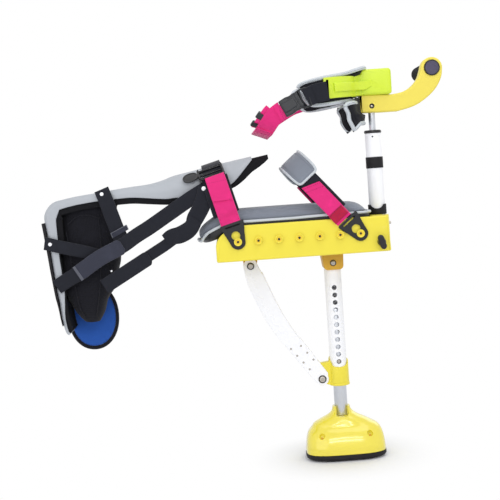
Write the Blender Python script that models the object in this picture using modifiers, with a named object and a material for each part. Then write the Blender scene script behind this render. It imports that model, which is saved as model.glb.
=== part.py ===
"""A hands-free knee walker: a knee platform on a telescopic leg with a rocker foot, a post with a
handle and a thigh cuff, two hook-on leg straps, and the lower-leg brace that the rear strap holds.

Millimetres are used throughout and turned into metres by MM. +X is forward, +Z up, and the origin
is the middle of the knee cushion's crown. The wearer's leg lies along X, so the side nearer to
the viewer of a side view is -Y.
"""

import math

import bmesh
import bpy
import numpy as np
from mathutils import Matrix, Vector

MM = 0.001
GAP = 0.3

# Where the upright tubes and the strap pegs stand
POLE_X = 90.0
POST_X = 187.5
PEG_Z = -61.0
REAR_PEG_X = -95.0
PEG_PITCH = 39.4
PEG_COUNT = 7
FRONT_PEG_X = REAR_PEG_X + (PEG_COUNT - 1) * PEG_PITCH

# Platform tray
TRAY_HALF_WIDTH = 76.0
TRAY_TOP = -30.0
TRAY_BOTTOM = -99.0
TRAY_REAR = -138.0
TRAY_FRONT_TOP = 196.0
TRAY_FRONT_BOTTOM = 203.0
TRAY_WALL = 4.0
DECK_TOP = -46.6
DECK_BOTTOM = -50.6
REAR_CELL_TOP = -63.0
RIB = 3.0
CELL_COLUMNS = 6
CELL_ROWS = 3
CELLS_FRONT = 158.0
POST_BOSS_RADIUS = 22.0
PEG_SHANK_RADIUS = 4.4
PEG_HEAD_RADIUS = 7.6
PEG_SHANK_LENGTH = 3.9
PEG_HEAD_LENGTH = 4.4
PEG_HOLE_RADIUS = 1.8

# Knee cushion and the pan under it
SEAT_REAR = -171.0
SEAT_FRONT = 166.0
SEAT_HALF_WIDTH = 69.0
SEAT_SPLIT_Z = -23.7
SEAT_BOTTOM = -46.0
SEAT_DROP = 12.0

# Telescopic leg
LEG_OUTER_RADIUS = 16.8
LEG_OUTER_BORE = 14.6
LEG_INNER_RADIUS = 13.0
LEG_INNER_BORE = 11.0
LEG_TUBE_TOP = -103.0
LEG_TUBE_BOTTOM = -365.0
LOCK_HOLE_COUNT = 11
LOCK_HOLE_PITCH = 14.9
LOCK_HOLE_TOP = -169.0
LOCK_HOLE_RADIUS = 4.9
BUTTON_Z = LOCK_HOLE_TOP - (LOCK_HOLE_COUNT - 1) * LOCK_HOLE_PITCH
BUTTON_RADIUS = 4.2
LOWER_TUBE_TOP = LOCK_HOLE_TOP - 3 * LOCK_HOLE_PITCH + 2.0
LOWER_TUBE_BOTTOM = -428.0
SOCKET_BOTTOM = -133.0
SOCKET_BOLT_Z = -119.0
COLLAR_RADIUS = 19.6
COLLAR_TOP = -313.0
COLLAR_FRONT_TOP = -330.0
COLLAR_BOTTOM = -367.0

# Strut between the platform and the collar
STRUT_TOP = (-73.0, -115.0)
STRUT_LOW = (55.0, -352.0)
STRUT_END_RADIUS = 14.5
STRUT_HALF_WIDTH = 12.0
STRUT_INSIDE_HALF_WIDTH = 9.6
LUG_HALF_WIDTH = 9.0
BRACKET_UNDERSIDE = TRAY_BOTTOM - 3.6

# Foot
FOOT_X = 94.0
FOOT_HALF_LENGTH = 80.0
FOOT_HALF_WIDTH = 50.0
NECK_TOP = -405.0
SHELL_BOTTOM = -500.0
FOOT_CAVITY_TOP = -466.0
SCREW_WELL_Z = -461.0
SCREW_WELL_Y = 31.0
SCREW_WELL_X = (45.0, 141.0)
SOLE_BOTTOM = -513.0

# Post, handle and thigh cuff
POST_RADIUS = 15.75
POST_BORE = 13.95
POST_BOTTOM = -92.0
POST_TOP = 131.0
HANDLE_TUBE_RADIUS = 6.6
HANDLE_TUBE_BOTTOM = -20.0
HANDLE_TUBE_TOP = 240.0
ARM_HALF_WIDTH = 13.0
ARM_BOLT_Z = 184.0
GRIP_CENTRE = (310.0, 251.0)
GRIP_RADIUS = 15.4
GRIP_FAR = 128.0
CUFF_CENTRE_X = 60.0
CUFF_LONG = 100.0
CUFF_WIDE = 92.0
CUFF_WALL = 5.0
PAD_THICKNESS = 15.0

# Near half of the thigh strap's way, and where its pieces start and stop along x
THIGH_LOOP = (
    (95.0, -97.5, 214.0), (68.0, -103.0, 209.0), (45.0, -104.0, 199.0), (20.0, -102.0, 186.0),
    (-3.0, -98.0, 172.0), (-19.0, -90.0, 157.0), (-30.0, -76.0, 146.0), (-37.0, -55.0, 139.0),
    (-40.5, -28.0, 136.0), (-41.5, 0.0, 135.0),
)
THIGH_LOCK = (61.0, 41.0)
THIGH_SOCKET = (36.0, 19.0)
THIGH_PLUG = (14.0, 2.0)
THIGH_PINK_START = -2.0

# Knob
KNOB_X = 181.0
KNOB_Z = -80.0

# Straps: the direction in which each loop rises from its peg, in the XZ plane
WEB_THICKNESS = 2.4
HOOK_INNER = 76.45
HOOK_THICKNESS = 3.0
REAR_RISE = (-0.258, 0.966)
FRONT_RISE = (-0.644, 0.765)
REAR_WEB_WIDTH = 42.0
FRONT_WEB_WIDTH = 40.0
# Half of each loop as (distance out from the middle plane, distance up the rise)
REAR_LOOP = ((78.0, 38.5), (78.0, 62.0), (76.5, 98.0), (70.5, 128.0), (57.5, 151.0), (34.0, 167.0), (0.0, 174.0))
FRONT_LOOP = ((78.0, 38.5), (78.0, 64.0), (76.0, 102.0), (70.0, 136.0), (55.0, 167.0), (30.0, 187.0), (0.0, 194.0))
REAR_PINK_TOP = 124.0
REAR_PLUG = (127.0, 141.0)
REAR_SOCKET = (144.5, 163.0)
REAR_FAR_START = 165.5

# Lower-leg brace
BRACE_PIVOT = (-135.0, 45.0)
SHELL_THICKNESS = 3.2
LINER_THICKNESS = 7.0
BRACE_INWARD = -1.0
BRACE_HALF_WIDTH_FOOT = 46.0
BRACE_HALF_WIDTH_CALF = 54.0
BOOT_SIDES = 22
HEEL_RADIUS = 40.0
HEEL_CENTRE = (-434.5, 8.0)


# Scene set-up

def clear_scene():
    for obj in list(bpy.data.objects):
        bpy.data.objects.remove(obj, do_unlink=True)


def new_collection(name):
    collection = bpy.data.collections.new(name)
    bpy.context.scene.collection.children.link(collection)
    return collection


def material(name, colour, roughness, metallic=0.0):
    made = bpy.data.materials.new(name)
    made.use_nodes = True
    shader = made.node_tree.nodes["Principled BSDF"]
    shader.inputs["Base Color"].default_value = (*colour, 1.0)
    shader.inputs["Roughness"].default_value = roughness
    shader.inputs["Metallic"].default_value = metallic
    made.diffuse_color = (*colour, 1.0)
    return made


clear_scene()
PARTS = new_collection("knee_walker")
CUTTERS = new_collection("cutters")

YELLOW = material("yellow_plastic", (0.95, 0.78, 0.06), 0.35)
LIME = material("lime_plastic", (0.60, 0.92, 0.05), 0.38)
BLACK_PLASTIC = material("black_plastic", (0.02, 0.02, 0.025), 0.45)
RUBBER = material("black_rubber", (0.025, 0.023, 0.028), 0.8)
WHITE_PAINT = material("white_paint", (0.9, 0.9, 0.92), 0.35)
ALUMINIUM = material("brushed_aluminium", (0.62, 0.64, 0.68), 0.35, 1.0)
STEEL = material("zinc_steel", (0.5, 0.5, 0.52), 0.4, 1.0)
GREY_FABRIC = material("grey_fabric", (0.27, 0.29, 0.33), 0.9)
BLACK_FABRIC = material("black_fabric", (0.02, 0.02, 0.025), 0.9)
PINK_WEBBING = material("pink_webbing", (0.83, 0.03, 0.15), 0.8)
BLACK_WEBBING = material("black_webbing", (0.025, 0.027, 0.035), 0.8)
GREY_SHELL = material("grey_shell", (0.5, 0.54, 0.6), 0.4)
BLUE_FABRIC = material("blue_fabric", (0.03, 0.15, 0.5), 0.85)
FOAM = material("black_foam", (0.02, 0.02, 0.025), 0.95)


# Objects from meshes and curves

def add_object(name, mesh, finish, helper=False):
    """An object in the parts collection, or a hidden one among the cutters."""
    obj = bpy.data.objects.new(name, mesh)
    if helper:
        CUTTERS.objects.link(obj)
        obj.hide_render = True
        obj.display_type = "WIRE"
    else:
        PARTS.objects.link(obj)
        mesh.materials.append(finish)
    return obj


def smooth(obj, degrees=40.0):
    obj.data.shade_smooth()
    obj.data.set_sharp_from_angle(angle=math.radians(degrees))
    return obj


def bevel(obj, width, segments=2, degrees=40.0):
    modifier = obj.modifiers.new("rounded_edges", "BEVEL")
    modifier.width = width * MM
    modifier.segments = segments
    modifier.limit_method = "ANGLE"
    modifier.angle_limit = math.radians(degrees)
    return obj


def boolean(obj, other, operation):
    modifier = obj.modifiers.new(f"{operation.lower()}_{other.name}", "BOOLEAN")
    modifier.operation = operation
    modifier.object = other
    modifier.solver = "EXACT"
    return obj


def cut(obj, *others):
    for other in others:
        boolean(obj, other, "DIFFERENCE")
    return obj


def join(obj, *others):
    for other in others:
        boolean(obj, other, "UNION")
    return obj


def mesh_from_bmesh(name, bm):
    bmesh.ops.recalc_face_normals(bm, faces=bm.faces)
    mesh = bpy.data.meshes.new(name)
    bm.to_mesh(mesh)
    bm.free()
    return mesh


def cylinder(name, start, end, radius, finish=None, sides=24, tip_radius=None, helper=False):
    """A cylinder, or a cone with a tip radius, between two points."""
    start, end = Vector(start) * MM, Vector(end) * MM
    bm = bmesh.new()
    bmesh.ops.create_cone(
        bm,
        cap_ends=True,
        segments=sides,
        radius1=radius * MM,
        radius2=(radius if tip_radius is None else tip_radius) * MM,
        depth=(end - start).length,
    )
    obj = add_object(name, mesh_from_bmesh(name, bm), finish, helper)
    obj.location = (start + end) / 2
    obj.rotation_mode = "QUATERNION"
    obj.rotation_quaternion = (end - start).to_track_quat("Z", "Y")
    return smooth(obj)


def box(name, low, high, finish=None, rounding=0.0, helper=False):
    low, high = np.array(low, float), np.array(high, float)
    bm = bmesh.new()
    bmesh.ops.create_cube(bm, size=1.0)
    bmesh.ops.scale(bm, vec=Vector((high - low) * MM), verts=bm.verts)
    obj = add_object(name, mesh_from_bmesh(name, bm), finish, helper)
    obj.location = Vector((low + high) / 2 * MM)
    if rounding:
        bevel(obj, rounding)
    return obj


def tube(name, bottom, top, radius, bore, centre, finish, sides=24):
    """An upright tube as a turned ring: its section, screwed about the Z axis."""
    mesh = bpy.data.meshes.new(name)
    section = [(radius, 0, top), (radius, 0, bottom), (bore, 0, bottom), (bore, 0, top)]
    edges = [(0, 1), (1, 2), (2, 3), (3, 0)]
    mesh.from_pydata([Vector(p) * MM for p in section], edges, [])
    obj = add_object(name, mesh, finish)
    obj.location = (centre[0] * MM, centre[1] * MM, 0)
    screw = obj.modifiers.new("turn", "SCREW")
    screw.axis = "Z"
    screw.angle = math.tau
    screw.steps = sides
    screw.render_steps = sides
    screw.use_merge_vertices = True
    screw.merge_threshold = 0.00005
    screw.use_smooth_shade = True
    return obj


def plate(name, outline, half_thickness, finish=None, turn=None, centre=(0, 0, 0), helper=False):
    """A flat outline with a thickness, drawn as a 2D curve and made a mesh.

    The outline lies in the XZ plane unless turn gives another rotation.
    """
    curve = bpy.data.curves.new(name, "CURVE")
    curve.dimensions = "2D"
    curve.fill_mode = "BOTH"
    curve.extrude = half_thickness * MM
    spline = curve.splines.new("POLY")
    spline.points.add(len(outline) - 1)
    for point, (across, up) in zip(spline.points, outline):
        point.co = (across * MM, up * MM, 0, 1)
    spline.use_cyclic_u = True
    drawn = bpy.data.objects.new(name + "_outline", curve)
    bpy.context.scene.collection.objects.link(drawn)
    turn = Matrix.Rotation(math.radians(90), 4, "X") if turn is None else turn
    drawn.matrix_world = Matrix.Translation(Vector(centre) * MM) @ turn
    bpy.context.view_layer.update()
    graph = bpy.context.evaluated_depsgraph_get()
    mesh = bpy.data.meshes.new_from_object(drawn.evaluated_get(graph))
    bm = bmesh.new()
    bm.from_mesh(mesh)
    bmesh.ops.remove_doubles(bm, verts=bm.verts, dist=0.00001)
    bmesh.ops.recalc_face_normals(bm, faces=bm.faces)
    bm.to_mesh(mesh)
    bm.free()
    mesh.name = name
    obj = add_object(name, mesh, finish, helper)
    obj.matrix_world = drawn.matrix_world.copy()
    bpy.data.objects.remove(drawn, do_unlink=True)
    bpy.data.curves.remove(curve)
    return obj


def loft(name, rings, finish=None, helper=False):
    """Rings of points joined one to the next, with the ends capped."""
    rings = np.asarray(rings, float)
    around = rings.shape[1]
    bm = bmesh.new()
    verts = [[bm.verts.new(Vector(p) * MM) for p in ring] for ring in rings]
    for a, b in zip(verts, verts[1:]):
        for j in range(around):
            k = (j + 1) % around
            bm.faces.new((a[j], a[k], b[k], b[j]))
    bm.faces.new(verts[0][::-1])
    bm.faces.new(verts[-1])
    return add_object(name, mesh_from_bmesh(name, bm), finish, helper)


# Curves and outlines in numbers

def arc(centre, radius, start, end, count):
    """Points on an arc from one angle to another, in degrees."""
    angles = np.radians(np.linspace(start, end, count))
    return np.stack([centre[0] + radius * np.cos(angles), centre[1] + radius * np.sin(angles)], 1)


def through(points, steps):
    """A smooth Catmull-Rom curve through the points, with steps pieces between each two."""
    points = np.asarray(points, float)
    padded = np.vstack([2 * points[0] - points[1], points, 2 * points[-1] - points[-2]])
    found = []
    for i in range(1, len(padded) - 2):
        before, here, there, after = padded[i - 1 : i + 3]
        for t in np.arange(steps) / steps:
            found.append(
                0.5
                * (
                    2 * here
                    + (there - before) * t
                    + (2 * before - 5 * here + 4 * there - after) * t**2
                    + (3 * here - before - 3 * there + after) * t**3
                )
            )
    return np.array(found + [points[-1]])


def superellipse(half_x, half_y, power, count):
    """Points round |x/a|^n + |y/b|^n = 1, evenly spread in angle."""
    angles = np.arange(count) / count * math.tau
    c, s = np.cos(angles), np.sin(angles)
    across = half_x * np.sign(c) * np.abs(c) ** (2 / power)
    along = half_y * np.sign(s) * np.abs(s) ** (2 / power)
    return np.stack([across, along], 1)


def turn_by(angle):
    """The matrix that turns rows of (x, z) by an angle in radians."""
    c, s = math.cos(angle), math.sin(angle)
    return np.array([[c, s], [-s, c]])


def unit(vectors):
    return vectors / np.linalg.norm(vectors, axis=-1, keepdims=True)


def sheet(name, rows, thickness, finish, offset=0.0):
    """An open surface through rows of points, given a thickness by Solidify."""
    rows = np.asarray(rows, float)
    count, across = rows.shape[:2]
    mesh = bpy.data.meshes.new(name)
    faces = [
        (i * across + j, (i + 1) * across + j, (i + 1) * across + j + 1, i * across + j + 1)
        for i in range(count - 1)
        for j in range(across - 1)
    ]
    mesh.from_pydata([Vector(p) * MM for p in rows.reshape(-1, 3)], [], faces)
    obj = add_object(name, mesh, finish)
    wall = obj.modifiers.new("wall", "SOLIDIFY")
    wall.thickness = thickness * MM
    wall.offset = offset
    return obj


def webbing(name, path, across, width, finish, thickness=WEB_THICKNESS):
    """A flat strap along a path of points, whose width lies along the direction across."""
    path = np.asarray(path, float)
    tangent = unit(np.gradient(path, axis=0))
    across = np.broadcast_to(np.asarray(across, float), path.shape)
    side = unit(across - (across * tangent).sum(1, keepdims=True) * tangent)
    return sheet(name, np.stack([path - side * width / 2, path + side * width / 2], 1), thickness, finish)


def axis_empty(name, location):
    """An empty on a joint's axis, which carries the pieces of one moving body."""
    empty = bpy.data.objects.new(name, None)
    empty.empty_display_size = 0.02
    empty.location = Vector(location) * MM
    PARTS.objects.link(empty)
    return empty


def carry(empty, *pieces):
    """Parents pieces to an empty without moving them."""
    shift = Matrix.Translation(empty.location).inverted()
    for piece in pieces:
        piece.parent = empty
        piece.matrix_parent_inverse = shift


# Platform

def tray_outline():
    """The side outline: square at the front, rounded at the upper rear corner."""
    rounded = [
        (TRAY_REAR + 60.0 * (1 - math.cos(a)), TRAY_TOP - 40.0 * (1 - math.sin(a)))
        for a in np.radians(np.linspace(0, 90, 8))
    ]
    return [
        (TRAY_REAR, TRAY_BOTTOM),
        *rounded,
        (TRAY_FRONT_TOP, TRAY_TOP),
        (TRAY_FRONT_BOTTOM, TRAY_BOTTOM),
    ]


def peg_places():
    for side in (-1, 1):
        for i in range(PEG_COUNT):
            yield side, i, REAR_PEG_X + i * PEG_PITCH


def make_tray():
    tray = plate("platform_tray", tray_outline(), TRAY_HALF_WIDTH, YELLOW)
    bevel(tray, 3.0, segments=1)
    boss = cylinder(
        "post_boss", (POST_X, 0, TRAY_BOTTOM + 1), (POST_X, 0, TRAY_TOP - 1), POST_BOSS_RADIUS, sides=32, helper=True
    )
    join(tray, boss)
    for side, i, x in peg_places():
        root = side * (TRAY_HALF_WIDTH - 2.0)
        neck = side * (TRAY_HALF_WIDTH + PEG_SHANK_LENGTH + 0.5)
        shoulder = side * (TRAY_HALF_WIDTH + PEG_SHANK_LENGTH)
        tip = side * (TRAY_HALF_WIDTH + PEG_SHANK_LENGTH + PEG_HEAD_LENGTH)
        tag = f"{'near' if side < 0 else 'far'}_{i}"
        shank = cylinder(
            "peg_shank_" + tag, (x, root, PEG_Z), (x, neck, PEG_Z), PEG_SHANK_RADIUS, sides=8, helper=True
        )
        head = cylinder(
            "peg_head_" + tag, (x, shoulder, PEG_Z), (x, tip, PEG_Z), PEG_HEAD_RADIUS, sides=12, helper=True
        )
        hole = cylinder(
            "peg_hole_" + tag, (x, tip - side * 2.6, PEG_Z), (x, tip + side, PEG_Z),
            PEG_HOLE_RADIUS, sides=6, helper=True,
        )
        join(tray, shank, head)
        cut(tray, hole)
    recess = plate(
        "seat_recess",
        [(-150, 10), (-150, -58.6), (-134, -58.0), (-98, DECK_TOP), (SEAT_FRONT + 1, DECK_TOP), (SEAT_FRONT + 1, 10)],
        TRAY_HALF_WIDTH - TRAY_WALL,
        helper=True,
    )
    cut(tray, recess)
    cells_rear = TRAY_REAR + TRAY_WALL
    cell_length = (CELLS_FRONT - cells_rear - (CELL_COLUMNS - 1) * RIB) / CELL_COLUMNS
    inside = 2 * (TRAY_HALF_WIDTH - TRAY_WALL)
    cell_width = (inside - (CELL_ROWS - 1) * RIB) / CELL_ROWS
    for column in range(CELL_COLUMNS):
        for row in range(CELL_ROWS):
            x = cells_rear + column * (cell_length + RIB)
            y = -inside / 2 + row * (cell_width + RIB)
            top = REAR_CELL_TOP if column == 0 else DECK_BOTTOM
            cut(
                tray,
                box(f"cell_{column}_{row}", (x, y, TRAY_BOTTOM - 5), (x + cell_length, y + cell_width, top), helper=True),
            )
    for side in (-1, 1):
        y = sorted((side * 27.0, side * (TRAY_HALF_WIDTH - TRAY_WALL)))
        name = "front_cell_near" if side < 0 else "front_cell_far"
        cut(tray, box(name, (161.0, y[0], TRAY_BOTTOM - 5), (191.0, y[1], -35.0), helper=True))
    cut(
        tray,
        cylinder("post_hole", (POST_X, 0, POST_BOTTOM - 1.5), (POST_X, 0, 0), POST_RADIUS + 0.5, sides=32, helper=True),
        cylinder("knob_hole", (KNOB_X, -90, KNOB_Z), (KNOB_X, -10, KNOB_Z), 4.0, sides=16, helper=True),
        cylinder("pin_hole", (POST_X, 0, -48), (215, 0, -48), 3.2, sides=12, helper=True),
    )
    return tray


def seat_station(x):
    """Half width, top and split heights, and the drop of the pad at one place along it."""
    rear = np.clip((-111.0 - x) / 60.0, 0, 1)
    front = np.clip((x - 136.0) / 30.0, 0, 1)
    width = SEAT_HALF_WIDTH * (1 - rear**2.6) ** (1 / 2.6) * (1 - 0.35 * front**2.5)
    ease = np.clip((-100.0 - x) / 66.0, 0, 1)
    drop = SEAT_DROP * ease * ease * (3 - 2 * ease)
    crown = -2.0 * (x / 150.0) ** 2 - 20.0 * rear**2.2 - 19.0 * front**1.5 - drop
    split = SEAT_SPLIT_Z - drop - 12.0 * rear**1.5
    return max(width, 16.0), crown, split, SEAT_BOTTOM - drop * 0.93


def seat_rings(kind):
    """Cross-sections of the cushion's crown, or of the pan under it, from rear to front."""
    rings = []
    reach = (SEAT_REAR + SEAT_FRONT) / 2, (SEAT_FRONT - SEAT_REAR) / 2
    for turn in np.linspace(-90, 90, 19):
        x = reach[0] + (reach[1] - (0 if kind == "cushion" else 1.5)) * math.sin(math.radians(turn))
        width, crown, split, bottom = seat_station(x)
        if kind == "cushion":
            angles = np.radians(np.linspace(0, 180, 15))
            across = width * np.sign(np.cos(angles)) * np.abs(np.cos(angles)) ** 0.55
            rise = np.sin(angles) ** 0.62
            pulled = 1 + 0.012 * np.sin(np.clip(rise * math.pi, 0, math.pi))
            ring = np.stack([np.full(len(angles), x), across * pulled, split + (crown - split) * rise], 1)
        else:
            half = width - 1.2
            height = split - GAP - bottom
            side = [(half, 1.0), (half, 0.55), (half - 3, 0.2), (half - 9, 0.0)]
            across = [s[0] for s in side] + [-s[0] for s in side[::-1]]
            up = [bottom + height * s[1] for s in side + side[::-1]]
            ring = np.stack([np.full(8, x), across, up], 1)
        rings.append(ring)
    return rings


def make_seat():
    cushion = smooth(loft("knee_cushion", seat_rings("cushion"), GREY_FABRIC), 60)
    pan = smooth(loft("seat_pan", seat_rings("pan"), BLACK_PLASTIC), 40)
    return cushion, pan


def make_front_fittings():
    pin = cylinder("front_pin", (204, 0, -48), (213, 0, -48), 2.8, STEEL, sides=16)
    boot = tube("post_boot", TRAY_TOP + GAP, -10.0, 18.2, POST_RADIUS + 0.5, (POST_X, 0), RUBBER)
    for side in (-1, 1):
        scallop = cylinder(
            "boot_scallop" if side < 0 else "boot_scallop_far",
            (POST_X - 2, side * 6, -4), (POST_X - 2, side * 30, -4), 14.0, sides=20, helper=True,
        )
        cut(boot, scallop)
    return pin, boot


# Leg

def make_leg_socket():
    left, right = POLE_X - 21.0, POLE_X + 21.0
    outline = [
        (left - 2, TRAY_BOTTOM - GAP),
        *arc((left + 7, SOCKET_BOTTOM + 7), 7, 180, 270, 5),
        *arc((right - 7, SOCKET_BOTTOM + 7), 7, 270, 360, 5),
        (right + 1, TRAY_BOTTOM - GAP),
    ]
    socket = plate("leg_socket", outline, 24.0, YELLOW)
    bevel(socket, 2.0, segments=1)
    bore = cylinder(
        "leg_socket_bore", (POLE_X, 0, SOCKET_BOTTOM - 5), (POLE_X, 0, LEG_TUBE_TOP + 0.5),
        LEG_OUTER_RADIUS + GAP, sides=32, helper=True,
    )
    hole = cylinder(
        "leg_socket_cross", (POLE_X, -30, SOCKET_BOLT_Z), (POLE_X, 30, SOCKET_BOLT_Z), 4.4, sides=16, helper=True
    )
    return cut(socket, bore, hole)


def bolt(name, centre, half_length, shank, head, finish=STEEL, head_height=3.6):
    """A cross bolt along Y with a head on the near side and a nut on the far side."""
    x, z = centre
    body = cylinder(name, (x, -half_length, z), (x, half_length, z), shank, finish, sides=16)
    near = cylinder(
        name + "_head", (x, -half_length - head_height + 1, z), (x, -half_length + 1, z),
        head, sides=16, helper=True,
    )
    far = cylinder(
        name + "_nut", (x, half_length - 1, z), (x, half_length + head_height - 1, z),
        head, sides=6, helper=True,
    )
    return join(body, near, far)


def lock_hole_heights():
    return [LOCK_HOLE_TOP - i * LOCK_HOLE_PITCH for i in range(LOCK_HOLE_COUNT)]


def make_leg_tube():
    leg = tube(
        "leg_tube", LEG_TUBE_BOTTOM, LEG_TUBE_TOP, LEG_OUTER_RADIUS, LEG_OUTER_BORE, (POLE_X, 0), WHITE_PAINT
    )
    for i, z in enumerate(lock_hole_heights()):
        cut(leg, cylinder(f"lock_hole_{i}", (POLE_X, -22, z), (POLE_X, -8, z), LOCK_HOLE_RADIUS, sides=10, helper=True))
    bolt_hole = cylinder(
        "leg_tube_cross", (POLE_X, -24, SOCKET_BOLT_Z), (POLE_X, 24, SOCKET_BOLT_Z), 4.4, sides=12, helper=True
    )
    return cut(leg, bolt_hole)


def make_collar():
    collar = tube(
        "leg_collar", COLLAR_BOTTOM, COLLAR_TOP, COLLAR_RADIUS, LEG_OUTER_RADIUS + GAP, (POLE_X, 0), YELLOW
    )
    slope = plate(
        "collar_slope",
        [(-30, COLLAR_FRONT_TOP - 4), (30, COLLAR_TOP + 4), (30, COLLAR_TOP + 30), (-30, COLLAR_TOP + 30)],
        22.0,
        turn=Matrix.Rotation(math.radians(90), 4, "Z") @ Matrix.Rotation(math.radians(90), 4, "X"),
        centre=(POLE_X, 0, 0),
        helper=True,
    )
    edge = POLE_X - LEG_OUTER_RADIUS - 1.2
    lug = plate(
        "collar_lug",
        [(edge, COLLAR_TOP - 5), (51, -321), (46, -331), (46, -352), *arc(STRUT_LOW, 12, 190, 300, 6), (edge, COLLAR_BOTTOM)],
        LUG_HALF_WIDTH,
        helper=True,
    )
    cross = cylinder("collar_cross", (55, -20, -352), (55, 20, -352), 4.4, sides=12, helper=True)
    cut(collar, slope)
    return cut(join(collar, lug), cross)


def strut_outline():
    """Left and right edges of the bowed channel, round at both ends."""
    left = through([(-87, -122), (-81, -152), (-68, -185), (-51, -224), (-30, -260), (-8, -289), (41, -357)], 2)
    right = through([(67, -340), (41, -303), (23, -278), (8, -257), (-10, -226), (-25, -194), (-38, -162), (-59, -114)], 2)
    low = arc(STRUT_LOW, STRUT_END_RADIUS - 1.5, 215, 395, 8)[1:-1]
    top = arc(STRUT_TOP, STRUT_END_RADIUS, 15, 200, 9)[1:-1]
    top[:, 1] = np.minimum(top[:, 1], BRACKET_UNDERSIDE - 0.6)
    return np.vstack([left, low, right, top])


STRUT_HOLE_FIRST = (-4.0, -286.4)
STRUT_HOLE_STEP = (11.6, -14.6)
STRUT_HOLE_ROW = (20.4, 4.6)


def strut_perforations():
    """Two staggered rows of small holes towards the channel's lower end."""
    for row in (0, 1):
        for i in range(4 - row):
            x, z = (STRUT_HOLE_FIRST[k] + i * STRUT_HOLE_STEP[k] + row * STRUT_HOLE_ROW[k] for k in (0, 1))
            yield row, i, x, z


def make_strut():
    outline = strut_outline()
    strut = plate("strut", outline, STRUT_HALF_WIDTH, WHITE_PAINT)
    hollow = plate("strut_hollow", outline - (3.4, 2.2), STRUT_INSIDE_HALF_WIDTH, helper=True)
    cut(strut, hollow)
    for name, (x, z) in (("top", STRUT_TOP), ("low", STRUT_LOW)):
        cut(
            strut,
            cylinder(f"strut_eye_{name}", (x, -20, z), (x, 20, z), 4.4, sides=12, helper=True),
            box(
                f"strut_fork_{name}",
                (x - 24, -STRUT_INSIDE_HALF_WIDTH, z - 22),
                (x + 24, STRUT_INSIDE_HALF_WIDTH, z + (40 if name == "low" else 22)),
                helper=True,
            ),
        )
    for row, i, x, z in strut_perforations():
        cut(strut, cylinder(f"strut_hole_{row}_{i}", (x, -16, z), (x, 16, z), 1.9, sides=6, helper=True))
    return strut


def make_strut_bracket():
    top = TRAY_BOTTOM - GAP
    bracket = box("strut_bracket", (-92, -19, BRACKET_UNDERSIDE), (-53, 19, top), YELLOW)
    lug = plate(
        "strut_bracket_lug",
        [(-88, top - 2), *arc(STRUT_TOP, 12, 190, 350, 9), (-58, top - 2)],
        LUG_HALF_WIDTH,
        helper=True,
    )
    hole = cylinder("strut_bracket_hole", (-73, -20, -115), (-73, 20, -115), 4.4, sides=12, helper=True)
    return cut(join(bracket, lug), hole)


# Foot and its tube

def make_lower_tube():
    lower = tube(
        "lower_tube", LOWER_TUBE_BOTTOM, LOWER_TUBE_TOP, LEG_INNER_RADIUS, LEG_INNER_BORE, (POLE_X, 0), ALUMINIUM
    )
    return cut(
        lower, cylinder("button_hole", (POLE_X, -20, BUTTON_Z), (POLE_X, -6, BUTTON_Z), 4.5, sides=16, helper=True)
    )


def make_button():
    """The lock button, drawn pushed in level with the bore so that the leg can slide."""
    head = cylinder(
        "snap_button", (POLE_X, -12.9, BUTTON_Z), (POLE_X, -13.7, BUTTON_Z), BUTTON_RADIUS, STEEL,
        sides=20, tip_radius=3.2,
    )
    stem = cylinder(
        "snap_button_stem", (POLE_X, -8.0, BUTTON_Z), (POLE_X, -13.0, BUTTON_Z), BUTTON_RADIUS, sides=20, helper=True
    )
    return join(head, stem)


def make_button_spring():
    """A V-shaped leaf inside the tube, whose free arm stands behind the button."""
    near = through([(-7.2, BUTTON_Z - 7), (-7.2, BUTTON_Z + 12), (-4.0, BUTTON_Z + 34), (0.0, BUTTON_Z + 41)], 3)
    far = through([(4.0, BUTTON_Z + 34), (8.6, BUTTON_Z + 12), (9.4, BUTTON_Z - 7)], 3)
    path = np.vstack([near, far])
    points = np.stack([np.full(len(path), POLE_X), path[:, 0], path[:, 1]], 1)
    return webbing("button_spring", points, (1, 0, 0), 7.0, STEEL, thickness=0.9)


def foot_rings(stations, count=28):
    rings = []
    for z, half_x, half_y, power, centre in stations:
        flat = superellipse(half_x, half_y, power, count)
        rings.append(np.column_stack([flat[:, 0] + centre, flat[:, 1], np.full(count, z)]))
    return rings


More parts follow.
